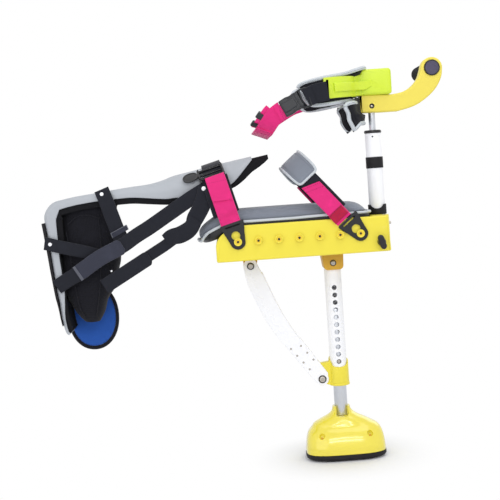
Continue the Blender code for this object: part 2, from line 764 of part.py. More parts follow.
def make_foot():
    length, width = FOOT_HALF_LENGTH, FOOT_HALF_WIDTH
    stations = [
        (SHELL_BOTTOM, length, width, 3.2, FOOT_X),
        (-484.0, length - 1, width - 1, 3.2, FOOT_X),
        (-470.0, length - 3, width - 6, 3.1, FOOT_X),
        (-458.0, length - 7, width - 12, 2.9, FOOT_X),
        (-449.0, length - 14, width - 18, 2.7, FOOT_X),
        (-442.0, length - 27, width - 23, 2.5, 93.0),
        (-435.0, 36.0, 24.0, 2.3, 92.0),
        (-428.0, 22.5, 20.5, 2.1, 91.0),
        (-418.0, 18.4, 18.4, 2.0, POLE_X),
        (NECK_TOP, 17.6, 17.6, 2.0, POLE_X),
    ]
    shell = smooth(loft("foot_shell", foot_rings(stations), YELLOW), 50)
    bore = cylinder(
        "foot_bore", (POLE_X, 0, LOWER_TUBE_BOTTOM - 0.5), (POLE_X, 0, NECK_TOP + 5),
        LEG_INNER_RADIUS + 0.9, sides=32, helper=True,
    )
    notch = plate(
        "neck_notch",
        [(POLE_X - 12.5, NECK_TOP + 8), *arc((POLE_X - 6.5, -423), 6, 180, 270, 4),
         *arc((POLE_X + 6.5, -423), 6, 270, 360, 4), (POLE_X + 12.5, NECK_TOP + 8)],
        12.0,
        centre=(0, -20.5, 0),
        helper=True,
    )
    cavity_stations = [
        (SHELL_BOTTOM - 2, length - 4, width - 4, 3.2, FOOT_X),
        (-484.0, length - 5, width - 5, 3.2, FOOT_X),
        (-472.0, length - 8, width - 10, 3.1, FOOT_X),
        (FOOT_CAVITY_TOP, length - 13, width - 15, 3.0, FOOT_X),
    ]
    cavity = loft("foot_cavity", foot_rings(cavity_stations, 20), helper=True)
    cut(shell, cavity, bore, notch)
    for name, x in zip(("rear", "front"), SCREW_WELL_X):
        for side, tag in ((-1, "near"), (1, "far")):
            y = side * SCREW_WELL_Y
            low, high = (x, y, SCREW_WELL_Z), (x, y, SCREW_WELL_Z + 25)
            cut(shell, cylinder(f"screw_well_{name}_{tag}", low, high, 5.4, sides=12, helper=True))
    sole = [
        (SHELL_BOTTOM - GAP, length + 0.4, width + 0.4, 3.2, FOOT_X),
        (-505.0, length + 0.8, width + 0.8, 3.2, FOOT_X),
        (-509.5, length - 2.0, width - 1.5, 3.2, FOOT_X),
        (SOLE_BOTTOM, length - 14, width - 10, 3.0, FOOT_X),
    ]
    rubber = smooth(loft("foot_sole", foot_rings(sole), RUBBER), 30)
    return shell, rubber


def make_foot_screws():
    """Pan-head screws in the shell's two near wells."""
    screws = []
    for name, x in zip(("rear", "front"), SCREW_WELL_X):
        low, high = (x, -SCREW_WELL_Y, SCREW_WELL_Z + GAP), (x, -SCREW_WELL_Y, SCREW_WELL_Z + 3)
        screws.append(cylinder(f"foot_screw_{name}", low, high, 4.6, STEEL, sides=16, tip_radius=3.6))
    return screws


# Post and handle

def make_post():
    post = tube("post_tube", POST_BOTTOM, POST_TOP, POST_RADIUS, POST_BORE, (POST_X, 0), WHITE_PAINT)
    band = tube("post_band", 62.0, 84.0, 17.0, POST_RADIUS + GAP, (POST_X, 0), RUBBER)
    ring = tube("post_ring", POST_TOP + GAP, 137.0, 17.0, HANDLE_TUBE_RADIUS + 0.4, (POST_X, 0), BLACK_PLASTIC)
    bush = tube("post_bush", 104.0, POST_TOP - 1.0, POST_BORE - GAP, HANDLE_TUBE_RADIUS + 0.4, (POST_X, 0), BLACK_PLASTIC)
    return post, band, ring, bush


def arm_outline():
    """A straight clamp end that curves up and forward into a round eye for the grip."""
    lower = through([(239, 171), (272, 179), (298, 194), (317, 212), (328, 232), (331, 250)], 3)
    eye = arc(GRIP_CENTRE, 21.0, 0, 165, 10)[1:]
    upper = through([(288, 250), (283, 236), (275, 224), (263, 214), (248, 207.5), (229, 204.5)], 3)[1:]
    return np.vstack([[(167, 172), (203, 171)], lower, eye, upper, [(167, 204.5)]])


def make_arm():
    arm = plate("handle_arm", arm_outline(), ARM_HALF_WIDTH, YELLOW)
    bevel(arm, 2.6, segments=1, degrees=50)
    return cut(
        arm,
        cylinder("arm_tube_hole", (POST_X, 0, 160), (POST_X, 0, 215), HANDLE_TUBE_RADIUS + GAP, sides=24, helper=True),
        cylinder("arm_bolt_hole", (POST_X, -20, ARM_BOLT_Z), (POST_X, 20, ARM_BOLT_Z), 2.9, sides=12, helper=True),
        cylinder("arm_bolt_well", (POST_X, -20, ARM_BOLT_Z), (POST_X, -9, ARM_BOLT_Z), 5.2, sides=16, helper=True),
        cylinder("arm_nut_well", (POST_X, 9, ARM_BOLT_Z), (POST_X, 20, ARM_BOLT_Z), 5.2, sides=16, helper=True),
        cylinder(
            "grip_hole", (GRIP_CENTRE[0], -20, GRIP_CENTRE[1]), (GRIP_CENTRE[0], 20, GRIP_CENTRE[1]),
            GRIP_RADIUS + 0.4, sides=32, helper=True,
        ),
    )


def make_arm_bolt():
    shank = cylinder("arm_bolt", (POST_X, -11.5, ARM_BOLT_Z), (POST_X, 11.5, ARM_BOLT_Z), 2.5, STEEL, sides=12)
    head = cylinder(
        "arm_bolt_head", (POST_X, -11.7, ARM_BOLT_Z), (POST_X, -9.4, ARM_BOLT_Z), 4.6, sides=16, helper=True
    )
    nut = cylinder("arm_bolt_nut", (POST_X, 9.4, ARM_BOLT_Z), (POST_X, 11.7, ARM_BOLT_Z), 4.6, sides=6, helper=True)
    return join(shank, head, nut)


def make_handle_tube():
    upright = tube(
        "handle_tube", HANDLE_TUBE_BOTTOM, HANDLE_TUBE_TOP, HANDLE_TUBE_RADIUS, 5.0, (POST_X, 0), ALUMINIUM, sides=24
    )
    cut(
        upright,
        cylinder("handle_cross", (POST_X, -12, ARM_BOLT_Z), (POST_X, 12, ARM_BOLT_Z), 2.9, sides=12, helper=True),
    )
    glide = tube("tube_glide", -19.0, 0.0, POST_BORE - GAP, HANDLE_TUBE_RADIUS + GAP, (POST_X, 0), BLACK_PLASTIC)
    return upright, glide


def make_grip():
    x, z = GRIP_CENTRE
    bar = cylinder("grip", (x, -11.0, z), (x, GRIP_FAR, z), GRIP_RADIUS, FOAM, sides=28)
    near = cylinder("grip_cap_near", (x, -11.3, z), (x, -16.0, z), GRIP_RADIUS, BLACK_PLASTIC, sides=28, tip_radius=14.2)
    far = cylinder(
        "grip_cap_far", (x, GRIP_FAR + GAP, z), (x, GRIP_FAR + 6, z), GRIP_RADIUS, BLACK_PLASTIC, sides=28, tip_radius=11
    )
    return bar, near, far


def cuff_curve(inset, start, end, count):
    """A stretch of the cuff's ellipse in plan, moved inwards, by angle from straight ahead."""
    angles = np.radians(np.linspace(start, end, count))
    return np.stack(
        [CUFF_CENTRE_X + (CUFF_LONG - inset) * np.cos(angles), (CUFF_WIDE - inset) * np.sin(angles)], 1
    )


UPRIGHT = Matrix.Identity(4)


def make_thigh_bracket():
    outside = cuff_curve(0, -73, 73, 21)
    inside = cuff_curve(CUFF_WALL, 73, -73, 21)
    bracket = plate("thigh_bracket", np.vstack([outside, inside]), 20.0, LIME, turn=UPRIGHT, centre=(0, 0, 219))
    rib = plate(
        "bracket_rib",
        np.vstack([cuff_curve(-5.0, -58, 58, 17), cuff_curve(1.5, 58, -58, 17)]),
        8.0, turn=UPRIGHT, centre=(0, 0, 219), helper=True,
    )
    root = box("bracket_root", (155.5, -20, 205.3), (172, 20, 238.0), helper=True)
    block = box("bracket_block", (166.5, -21, 205.3), (228, 21, 256), helper=True, rounding=3.0)
    join(bracket, rib, root, block)
    socket = cylinder(
        "bracket_socket", (POST_X, 0, 200), (POST_X, 0, HANDLE_TUBE_TOP + 0.5), HANDLE_TUBE_RADIUS + GAP, sides=24, helper=True
    )
    cut(bracket, socket)
    for side in (-1, 1):
        y = side * 90.0
        slot = box(
            "wing_slot_near" if side < 0 else "wing_slot_far",
            (92.5, y - 14, 203), (97.5, y + 14, 235), helper=True,
        )
        cut(bracket, slot)
    return bracket


def band_rings(inset, thickness, low, high, start, end, count, crown, tilt):
    """Sections of a curved pad round the thigh, whose height drops with x by the tilt."""
    rings = []
    middle, half = (low + high) / 2, (high - low) / 2
    section = superellipse(thickness / 2, half, 3.2, 12)
    for angle in np.linspace(start, end, count):
        edge = min(abs(angle - start), abs(angle - end)) / 12.0
        swell = min(1.0, 0.35 + 0.65 * edge)
        point = cuff_curve(inset + thickness / 2, angle, angle, 1)[0]
        out = np.array([math.cos(math.radians(angle)) * CUFF_WIDE, math.sin(math.radians(angle)) * CUFF_LONG])
        out /= np.linalg.norm(out)
        offset = section[:, 0] * np.where(section[:, 0] < 0, swell * (1 + crown), swell)
        tall = section[:, 1] * (0.9 + 0.1 * swell)
        height = middle + tall + tilt * (point[0] - CUFF_CENTRE_X - CUFF_LONG)
        rings.append(np.column_stack([point[0] + out[0] * offset, point[1] + out[1] * offset, height]))
    return rings


def make_thigh_pads():
    pad = loft(
        "thigh_pad",
        band_rings(CUFF_WALL + 0.8, PAD_THICKNESS, 196.5, 251.5, -101, 101, 21, 0.25, 0.15),
        BLACK_FABRIC,
    )
    flap = loft(
        "thigh_flap",
        band_rings(-6.0, 8.0, 140.0, 187.0, -44, 44, 10, 0.1, 0.1),
        BLACK_FABRIC,
    )
    return smooth(pad, 60), smooth(flap, 60)


def thigh_way(start, stop, count):
    """Evenly spread points on the near half of the thigh strap's way, from one x to another."""
    way = through(THIGH_LOOP, 8)[::-1]
    x = np.linspace(start, stop, count)
    return np.stack([x, np.interp(x, way[:, 0], way[:, 1]), np.interp(x, way[:, 0], way[:, 2])], 1)


def block_on(name, start, end, across, width, thickness, finish, rounding=1.6):
    """A rounded block from one point to another, with its width along a direction."""
    start, end, across = (np.asarray(v, float) for v in (start, end, across))
    along = end - start
    length = np.linalg.norm(along)
    along = along / length
    side = unit(across - across.dot(along) * along)
    face = np.cross(along, side)
    bm = bmesh.new()
    bmesh.ops.create_cube(bm, size=1.0)
    bmesh.ops.scale(bm, vec=Vector((length, width, thickness)) * MM, verts=bm.verts)
    obj = add_object(name, mesh_from_bmesh(name, bm), finish)
    turn = Matrix((along, side, face)).transposed().to_4x4()
    obj.matrix_world = Matrix.Translation(Vector((start + end) / 2 * MM)) @ turn
    return bevel(obj, rounding)


def make_thigh_strap():
    up = (0.2, 0, 1.0)
    leaning = (0.77, 0, -0.64)
    near = thigh_way(92.0, THIGH_LOCK[0] + 2.5, 7)
    strap = webbing("thigh_webbing", near, up, 34.0, BLACK_WEBBING)
    lock = block_on("thigh_ladder_lock", *thigh_way(*THIGH_LOCK, 2), up, 42.0, 8.0, BLACK_PLASTIC)
    socket = block_on("thigh_buckle_socket", *thigh_way(*THIGH_SOCKET, 2), (0.35, 0, 1), 42.0, 12.0, BLACK_PLASTIC, 3.0)
    plug = block_on("thigh_buckle_plug", *thigh_way(*THIGH_PLUG, 2), (-0.5, 0, 1), 38.0, 9.0, BLACK_PLASTIC, 2.0)
    back = through(THIGH_LOOP, 3)
    back = np.vstack([thigh_way(THIGH_PINK_START, THIGH_PINK_START, 1), back[back[:, 0] < THIGH_PINK_START - 1.5]])
    ahead = through(THIGH_LOOP, 3)[::-1][1:-1]
    whole = np.vstack([back, ahead * (1, -1, 1)])
    turning = np.clip((whole[:, 0] - 20.0) / 60.0, 0, 1)[:, None]
    turning = np.where(whole[:, 1:2] < 0, 0.0, turning)
    across = np.array(leaning) * (1 - turning) - np.array(up) * turning
    loop = webbing("thigh_strap", whole, across, 34.0, PINK_WEBBING)
    return strap, lock, socket, plug, loop


# Hook-on leg straps

def rise_frame(peg_x, rise):
    """Turns (out, up the rise, along the width) into world places for one strap."""
    up = np.array((rise[0], 0, rise[1]))
    wide = np.array((rise[1], 0, -rise[0]))
    origin = np.array((peg_x, 0, PEG_Z))

    def place(out, along, across=0.0):
        return origin + np.array((0, out, 0)) + up * along + wide * across

    return place, up, wide


def hook_outline():
    """A plate with a straight top edge and a round end about the peg."""
    return [(-21, 38), (21, 38), (18, 20), *arc((0, 0), 14.5, 12, -192, 15), (-18, 20)]


def keyhole_outline():
    neck = 4.6
    big = arc((0, 12.5), 8.6, -58, 238, 16)
    small = arc((0, 0), 4.9, 160, 380, 9)
    return [(neck, 5.2), *big, (-neck, 5.2), *small]


def make_hook(name, peg_x, rise, side):
    """One hook plate, lying on the tray's side with the peg in its keyhole's narrow end."""
    up = Vector((rise[0], 0, rise[1]))
    out = Vector((0, 1, 0))
    turn = Matrix((up.cross(out) * -1, up, out)).transposed().to_4x4()
    if turn.determinant() < 0:
        turn = Matrix((up.cross(out), up, out)).transposed().to_4x4()
    middle = side * (HOOK_INNER + HOOK_THICKNESS / 2)
    centre = (peg_x, middle, PEG_Z)
    hook = plate(name, hook_outline(), HOOK_THICKNESS / 2, BLACK_PLASTIC, turn=turn, centre=centre)
    hole = plate(name + "_keyhole", keyhole_outline(), 5.0, turn=turn, centre=centre, helper=True)
    return cut(hook, hole)


def loop_way(half, place, start=None, far_start=None, count=10):
    """Points on a loop: up its near side from one height to another, or on over to the far peg.

    start is a pair of heights on the near side; far_start is where a piece that ends at the far
    hook begins. Without either it is the whole loop.
    """
    near = through([(-out, along) for out, along in half], 4)
    if start:
        along = np.linspace(*start, count)
        way = np.stack([np.interp(along, near[:, 1], near[:, 0]), along], 1)
    else:
        way = np.vstack([near, near[::-1][1:] * (-1, 1)])
        if far_start:
            first = (np.interp(far_start, near[:, 1], near[:, 0]), far_start)
            way = np.vstack([[first], way[(way[:, 0] > first[0] + 3)]])
    return np.array([place(out, along) for out, along in way])


def make_front_strap():
    place, up, wide = rise_frame(FRONT_PEG_X, FRONT_RISE)
    near = make_hook("front_hook_near", FRONT_PEG_X, FRONT_RISE, -1)
    far = make_hook("front_hook_far", FRONT_PEG_X, FRONT_RISE, 1)
    band = webbing("front_strap", loop_way(FRONT_LOOP, place), wide, FRONT_WEB_WIDTH, PINK_WEBBING)
    inner = [(out - 7.5 * min(1.0, out / 30), along - 6.5 * (1 - out / 90)) for out, along in FRONT_LOOP]
    path = loop_way(inner, place)[10:-10:2]
    rings = pad_rings(path, wide, 64.0, 9.0)
    pad = smooth(loft("front_pad", rings, GREY_FABRIC), 60)
    return near, far, band, pad


def pad_rings(path, across, width, thickness):
    """Pillow sections along a path, thinner at its two ends."""
    tangent = unit(np.gradient(path, axis=0))
    side = np.broadcast_to(np.asarray(across, float), path.shape)
    face = np.cross(tangent, side)
    section = superellipse(width / 2, thickness / 2, 2.6, 14)
    rings = []
    for i, point in enumerate(path):
        end = min(i, len(path) - 1 - i) / 1.5
        full = min(1.0, 0.45 + 0.55 * end)
        wide = min(1.0, 0.88 + 0.12 * end)
        rings.append(point + np.outer(section[:, 0] * wide, side[i]) + np.outer(section[:, 1] * full, face[i]))
    return rings


def make_rear_strap():
    place, up, wide = rise_frame(REAR_PEG_X, REAR_RISE)
    near = make_hook("rear_hook_near", REAR_PEG_X, REAR_RISE, -1)
    far = make_hook("rear_hook_far", REAR_PEG_X, REAR_RISE, 1)
    sewn = loop_way(REAR_LOOP, place, (REAR_LOOP[0][1], REAR_PINK_TOP))
    pink = webbing("rear_strap_near", sewn, wide, REAR_WEB_WIDTH, PINK_WEBBING)
    plug_ends = loop_way(REAR_LOOP, place, REAR_PLUG, count=2)
    plug = block_on("rear_buckle_plug", *plug_ends, wide, 50.0, 8.0, BLACK_PLASTIC, 2.0)
    socket_ends = loop_way(REAR_LOOP, place, REAR_SOCKET, count=2)
    socket = block_on("rear_buckle_socket", *socket_ends, wide, 54.0, 10.0, BLACK_PLASTIC, 3.0)
    rest = loop_way(REAR_LOOP, place, far_start=REAR_FAR_START)
    over = webbing("rear_strap_far", rest, wide, REAR_WEB_WIDTH, BLACK_WEBBING)
    return near, far, pink, plug, socket, over


# Brace

def brace_path():
    """The shell's outer side line from the toe, round the heel and up to the calf cuff's edge."""
    heel = arc(HEEL_CENTRE, HEEL_RADIUS, 176, 92, 5)
    foot = [(-446, -229), (-453, -185), (-460, -135), (-467, -85), (-472, -35)]
    calf = [
        (-405, 50), (-350, 54), (-300, 58), (-262, 61), (-235, 66.5), (-212, 74),
        (-175, 81), (-140, 88), (-110, 93), (-82, 97.5), (-58, 101),
    ]
    return np.array([*foot, *heel, *calf], float)


def brace_frames():
    path = brace_path()
    tangent = unit(np.gradient(path, axis=0))
    inward = np.stack([tangent[:, 1], -tangent[:, 0]], 1)
    return path, inward


def brace_depths(path):
    """How far the side flanges reach inwards, and the half width, along the path."""
    x, z = path[:, 0], path[:, 1]
    foot = z < 0
    depth = np.interp(x, [-470, -372, -300, -265, -235, -208, -150, -110, -80, -58], [18, 18, 20, 26, 38, 47, 47, 43, 26, 9])
    depth = np.where(foot, np.interp(z, [-229, -190, -130, 0], [9, 12, 15, 18]), depth)
    half = np.interp(x, [-470, -400, -260, -200], [BRACE_HALF_WIDTH_FOOT, BRACE_HALF_WIDTH_FOOT, 48, BRACE_HALF_WIDTH_CALF])
    half = np.where(foot, np.interp(z, [-229, -180, 0], [38, 44, BRACE_HALF_WIDTH_FOOT]), half)
    corner = np.interp(x, [-470, -300, -210, -58], [9, 11, 28, 32])
    return depth, half, np.minimum(corner, depth * 0.75 + 1)


def channel_row(point, inward, half, depth, corner):
    """One U-shaped section over the back of the leg, with rounded corners and two side flanges."""
    angles = np.radians(np.linspace(90, 0, 4))
    across = (half - corner) + corner * np.cos(angles)
    up = corner - corner * np.sin(angles)
    flat = [(-half, depth), *zip(-across[::-1], up[::-1]), *zip(across, up), (half, depth)]
    return [(point[0] + inward[0] * u, a, point[1] + inward[1] * u) for a, u in flat]


def make_brace_shell():
    path, inward = brace_frames()
    depth, half, corner = brace_depths(path)
    rows = [channel_row(*row) for row in zip(path, inward, half, depth, corner)]
    return smooth(sheet("brace_shell", rows, SHELL_THICKNESS, GREY_SHELL, offset=BRACE_INWARD), 50)


def make_brace_liner():
    path, inward = brace_frames()
    depth, half, corner = brace_depths(path)
    shift = SHELL_THICKNESS + 0.5
    path = path + inward * shift
    more = np.interp(path[:, 0], [-200, -90, -58], [12.0, 9.0, 4.0])
    more = np.where(path[:, 1] < -60, 2.5, more)
    depth = np.maximum(depth - shift + more, LINER_THICKNESS + 1)
    corner = np.clip(corner - shift, 2.0, depth - 1.0)
    rows = [channel_row(*row) for row in zip(path, inward, half - shift, depth, corner)]
    return smooth(sheet("brace_liner", rows[:-1], LINER_THICKNESS, FOAM, offset=BRACE_INWARD), 50)


def make_outsole():
    """A thin rubber strip on the back of the foot plate."""
    path, inward = brace_frames()
    back = path[:5] - inward[:5] * 2.1
    points = np.column_stack([back[:, 0], np.zeros(5), back[:, 1]])
    return webbing("brace_outsole", through(points, 2), (0, 1, 0), 74.0, RUBBER, thickness=3.4)


def boot_rings(shrink):
    """Sections of the foot wrap, from the toe opening up to the heel."""
    stations = [
        (-204, -389, 40, 30), (-170, -389, 55, 33), (-130, -389, 58, 34), (-70, -386, 60, 34),
        (-20, -382, 61, 34), (18, -380, 60, 33), (33, -379, 54, 30),
    ]
    if shrink:
        stations = [(-212, -389, 40, 30), *stations[1:-2], (18, -380, 60, 33), (29, -379, 55, 31)]
    rings = []
    for z, x, half_x, half_y in stations:
        flat = superellipse(half_x - shrink, half_y - shrink, 2.6, BOOT_SIDES)
        rings.append(np.column_stack([flat[:, 0] + x, flat[:, 1], np.full(BOOT_SIDES, z)]))
    return rings


def make_boot():
    """The soft wrap round the foot: open at the toes and where the shin comes out."""
    wrap = smooth(loft("boot_wrap", boot_rings(0.0), BLACK_FABRIC), 60)
    hollow = loft("boot_hollow", boot_rings(4.0), helper=True)
    shin = box("shin_opening", (-360, -24, -40), (-300, 24, 26), helper=True)
    return cut(wrap, hollow, shin)


def make_toe_flap():
    """The blue-lined toe flap, an oval that stands on the far side of the toes."""
    flat = superellipse(48, 66, 2.1, 24)
    lean = math.radians(9)
    turned = flat @ turn_by(lean)
    flap = plate("toe_flap", turned + (-391, -198), 2.6, BLUE_FABRIC, centre=(0, 42.5, 0))
    return bevel(flap, 1.0)


BRACE_STRAPS = {
    "ankle_strap": (24.0, (0.85, 0, 0.5), [(-356, -48.5, 46), (-349, -52, 28), (-338, -50, 2), (-326, -44, -22), (-322, -36, -34)]),
    "heel_strap": (23.0, (0.1, 0, 1.0), [(-461, -48.5, -43), (-440, -50, -47), (-412, -47, -54), (-388, -41, -60)]),
    "long_strap_toe": (26.0, (-0.45, 0, 0.9), [(-452, -47.5, -131), (-430, -50, -114), (-405, -50, -98), (-345, -52, -67), (-290, -56, -31), (-230, -60.5, 7), (-163, -61.5, 46)]),
    "long_strap_side": (26.0, (-0.5, 0, 0.87), [(-352, -37.5, -140), (-325, -40.5, -126), (-285, -47, -104), (-240, -54, -78), (-212, -58, -50), (-190, -62, -20), (-176, -66, 12), (-164, -67, 40)]),
}


def make_brace_straps():
    made = []
    for name, (width, across, points) in BRACE_STRAPS.items():
        made.append(webbing(name, through(points, 3), across, width, BLACK_WEBBING, thickness=2.2))
    return made


# Wing knob

def make_knob():
    """A wing knob on a threaded shank that reaches the post inside the platform."""
    face = -TRAY_HALF_WIDTH - GAP
    hub = cylinder("wing_knob", (KNOB_X, face, KNOB_Z), (KNOB_X, face - 15, KNOB_Z), 8.2, BLACK_PLASTIC, sides=20, tip_radius=6.4)
    lean = math.radians(17)
    wing_outline = superellipse(4.0, 14.5, 2.6, 20)
    turned = wing_outline @ turn_by(lean)
    wing = plate("knob_wing", turned + (KNOB_X, KNOB_Z), 5.0, centre=(0, face - 10.5, 0), helper=True)
    shank = cylinder("knob_shank", (KNOB_X, face - 2, KNOB_Z), (KNOB_X, -16.4, KNOB_Z), 3.4, sides=16, helper=True)
    return join(hub, wing, shank)


def main():
    make_tray()
    make_seat()
    make_front_fittings()
    make_leg_socket()
    bolt("leg_socket_bolt", (POLE_X, SOCKET_BOLT_Z), 25.5, 3.9, 6.4)
    make_leg_tube()
    make_collar()
    bush = tube("leg_bush", LEG_TUBE_BOTTOM, -345.0, LEG_OUTER_BORE - GAP, LEG_INNER_RADIUS + GAP, (POLE_X, 0), BLACK_PLASTIC)
    assert bush.name == "leg_bush"
    make_strut()
    make_strut_bracket()
    bolt("strut_upper_bolt", STRUT_TOP, 13.5, 3.9, 6.6)
    bolt("strut_lower_bolt", STRUT_LOW, 13.5, 3.9, 7.6)

    carry(axis_empty("knob_axis", (KNOB_X, 0, KNOB_Z)), make_knob())
    leg_axis = axis_empty("leg_axis", (POLE_X, 0, BUTTON_Z))
    carry(leg_axis, make_lower_tube(), make_button_spring(), *make_foot(), *make_foot_screws())
    carry(axis_empty("button_axis", (POLE_X, -13, BUTTON_Z)), make_button())
    carry(axis_empty("post_axis", (POST_X, 0, TRAY_TOP)), *make_post())
    carry(
        axis_empty("handle_axis", (POST_X, 0, POST_TOP)),
        *make_handle_tube(), make_arm(), make_arm_bolt(), *make_grip(),
        make_thigh_bracket(), *make_thigh_pads(), *make_thigh_strap(),
    )
    carry(axis_empty("front_strap_axis", (FRONT_PEG_X, 0, PEG_Z)), *make_front_strap())
    carry(axis_empty("rear_strap_axis", (REAR_PEG_X, 0, PEG_Z)), *make_rear_strap())
    carry(
        axis_empty("brace_axis", (BRACE_PIVOT[0], 0, BRACE_PIVOT[1])),
        make_brace_shell(), make_brace_liner(), make_outsole(), make_boot(), make_toe_flap(), *make_brace_straps(),
    )
    bpy.context.view_layer.update()


main()
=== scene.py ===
"""The looks of a hands-free knee walker: a knee platform on a telescopic leg, its handle and thigh
cuff, two leg straps and a lower-leg brace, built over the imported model.

Lengths in the functions are millimetres, and MM turns them into metres when a mesh is made. +X is
forward, +Z up, and the side nearer to the viewer of a side view is -Y.
"""

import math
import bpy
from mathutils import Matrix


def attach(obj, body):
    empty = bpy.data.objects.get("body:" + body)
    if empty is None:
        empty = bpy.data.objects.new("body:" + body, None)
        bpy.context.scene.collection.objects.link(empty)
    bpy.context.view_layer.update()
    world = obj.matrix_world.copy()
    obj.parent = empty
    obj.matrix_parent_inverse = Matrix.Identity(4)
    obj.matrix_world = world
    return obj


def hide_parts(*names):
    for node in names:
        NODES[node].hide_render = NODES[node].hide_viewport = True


bl_info = {
    "name": "Knee Walker",
    "version": (1, 0, 0),
    "blender": (4, 5, 0),
    "location": "3D View > Sidebar > Walker",
    "description": "Builds the visible pieces of a hands-free knee walker over its packed model",
    "category": "Add Mesh",
}

import bmesh
import bpy
import numpy as np
from mathutils import Matrix, Vector

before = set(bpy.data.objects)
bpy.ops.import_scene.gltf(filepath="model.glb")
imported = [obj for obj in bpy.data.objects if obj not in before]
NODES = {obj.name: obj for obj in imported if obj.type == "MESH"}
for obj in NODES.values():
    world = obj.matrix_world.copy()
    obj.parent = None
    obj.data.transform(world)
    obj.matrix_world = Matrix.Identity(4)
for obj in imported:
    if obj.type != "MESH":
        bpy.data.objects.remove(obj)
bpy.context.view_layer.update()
MM = 0.001

# Degrees between two faces above which their edge stays sharp, on five kinds of piece
HARD, MOULDED, ROUNDED, SOFT, SEAMLESS = 35, 32, 50, 60, 180

# Numbers shared with the solids, in millimetres
POLE_X, POST_X, PEG_Z, REAR_PEG_X, PEG_PITCH, PEG_COUNT = 90, 187.5, -61, -95, 39.4, 7
FRONT_PEG_X = REAR_PEG_X + (PEG_COUNT - 1) * PEG_PITCH
TRAY_HALF_WIDTH, TRAY_TOP, TRAY_BOTTOM, DECK_TOP = 76, -30, -99, -46.6
SEAT_REAR, SEAT_FRONT, SEAT_HALF_WIDTH = -171, 166, 69
PAN_ROUND, PAN_REAR = -147, -163.5
LOCK_HOLES = [-169 - 14.9 * i for i in range(11)]
STRUT_TOP, STRUT_LOW = (-73, -115), (55, -352)
FOOT_X, SOLE_BOTTOM = 94, -513
SCREW_WELLS = [(45, -36.5, -462), (141, -36.5, -462), (45, 29, -449), (141, 29, -449)]
GRIP_CENTRE, ARM_BOLT_Z = (310, 251), 184
REAR_RISE, FRONT_RISE = (-0.258, 0.966), (-0.644, 0.765)
REAR_LOOP = ((78, 38.5), (78, 62), (76, 98), (70, 120), (60, 138), (46, 150), (28, 158), (0, 161))
FRONT_LOOP = ((78, 38.5), (78, 64), (76, 102), (70, 136), (55, 167), (30, 187), (0, 194))
THIGH_LOOP = (
    (95, -97.5, 214), (68, -103, 209), (45, -104, 199), (20, -102, 186),
    (-2, -98, 173), (-17, -90, 160), (-27, -76, 150.5), (-33.5, -55, 144),
    (-36.5, -28, 141), (-37.5, 0, 140),
)


# Settings

def srgb(red, green, blue):
    """The linear colour of three 0-255 values: ((c + 0.055) / 1.055) ^ 2.4, or c / 12.92 when dark."""
    c = np.array([red, green, blue]) / 255
    return tuple(float(v) for v in np.where(c <= 0.04045, c / 12.92, ((c + 0.055) / 1.055) ** 2.4))


def colour_setting(name, description, *value):
    """A colour property from three 0-255 values."""
    return bpy.props.FloatVectorProperty(
        name=name, description=description, subtype="COLOR", size=3, min=0, max=1, default=srgb(*value)
    )


def length_setting(name, description, default):
    """A length property in metres."""
    return bpy.props.FloatProperty(name=name, description=description, default=default, min=0, unit="LENGTH")


class WalkerColours(bpy.types.PropertyGroup):
    """The colours of the walker's finishes."""

    yellow: colour_setting("Yellow", "Moulded platform, collar and foot", 240, 223, 66)
    arm_yellow: colour_setting("Arm yellow", "Moulded handle arm", 240, 221, 86)
    # Painted shade: the yellow made darker, for the socket, the strut's bracket and the foot's screw heads
    amber: colour_setting("Amber", "Leg socket and strut bracket", 217, 166, 42)
    lime: colour_setting("Lime", "Moulded thigh bracket", 214, 236, 57)
    pink: colour_setting("Pink", "Webbing of the leg straps", 233, 41, 127)
    # Painted shade: a darker copy of the pink webbing, for the sewn tabs
    red: colour_setting("Dark pink", "Sewn tabs of the leg straps", 186, 20, 64)
    black_plastic: colour_setting("Black plastic", "Buckles, hooks and knob", 18, 18, 23)
    rubber: colour_setting("Rubber", "Sole, boot and band", 21, 19, 23)
    paint: colour_setting("White paint", "Leg, post and strut", 249, 249, 252)
    aluminium: colour_setting("Aluminium", "Inner tubes", 212, 215, 221)
    steel: colour_setting("Steel", "Bolts and rivets", 190, 184, 176)
    grey_fabric: colour_setting("Grey fabric", "Knee cushion and front pad", 138, 144, 156)
    black_fabric: colour_setting("Black fabric", "Thigh pad and foot wrap", 22, 22, 31)
    black_webbing: colour_setting("Black webbing", "Brace straps", 24, 26, 36)
    shell: colour_setting("Shell grey", "Brace shell", 176, 180, 186)
    blue: colour_setting("Blue lining", "Toe flap", 29, 82, 168)
    foam: colour_setting("Foam", "Grip and brace liner", 17, 17, 21)
    binding: colour_setting("Binding", "Piping and binding tape", 210, 216, 222)


class WalkerSizes(bpy.types.PropertyGroup):
    """Small sizes of the sewn and moulded detail."""

    webbing: length_setting("Webbing thickness", "Thickness of the flat straps", 0.0021)
    piping: length_setting("Piping radius", "Radius of the cushion's piping", 0.0027)
    stitch: length_setting("Stitch length", "Length of one stitch", 0.0026)
    rounding: length_setting("Edge rounding", "Radius of the platform's edges", 0.003)
    columns: bpy.props.IntProperty(
        name="Turned columns", description="Columns of a turned tube", default=72, min=12
    )


class WalkerStage(bpy.types.PropertyGroup):
    """The camera and the studio."""

    lens: bpy.props.FloatProperty(
        name="Lens", description="Focal length", default=75.6, subtype="DISTANCE_CAMERA"
    )
    key: bpy.props.FloatProperty(
        name="Key light", description="Power of the overhead light", default=15, unit="POWER"
    )
    fill: bpy.props.FloatProperty(
        name="Fill light", description="Power of the front light", default=12, unit="POWER"
    )
    sky: bpy.props.FloatProperty(name="Surround", description="Strength of the studio's walls", default=0.78)
    floor: colour_setting("Floor", "The studio floor", 238, 238, 240)


# Lines and outlines in numbers

def unit(vectors):
    """Vectors over their own length."""
    return vectors / np.linalg.norm(vectors, axis=-1, keepdims=True)


def floats(values):
    """The values as an array of decimals."""
    return np.asarray(values, float)


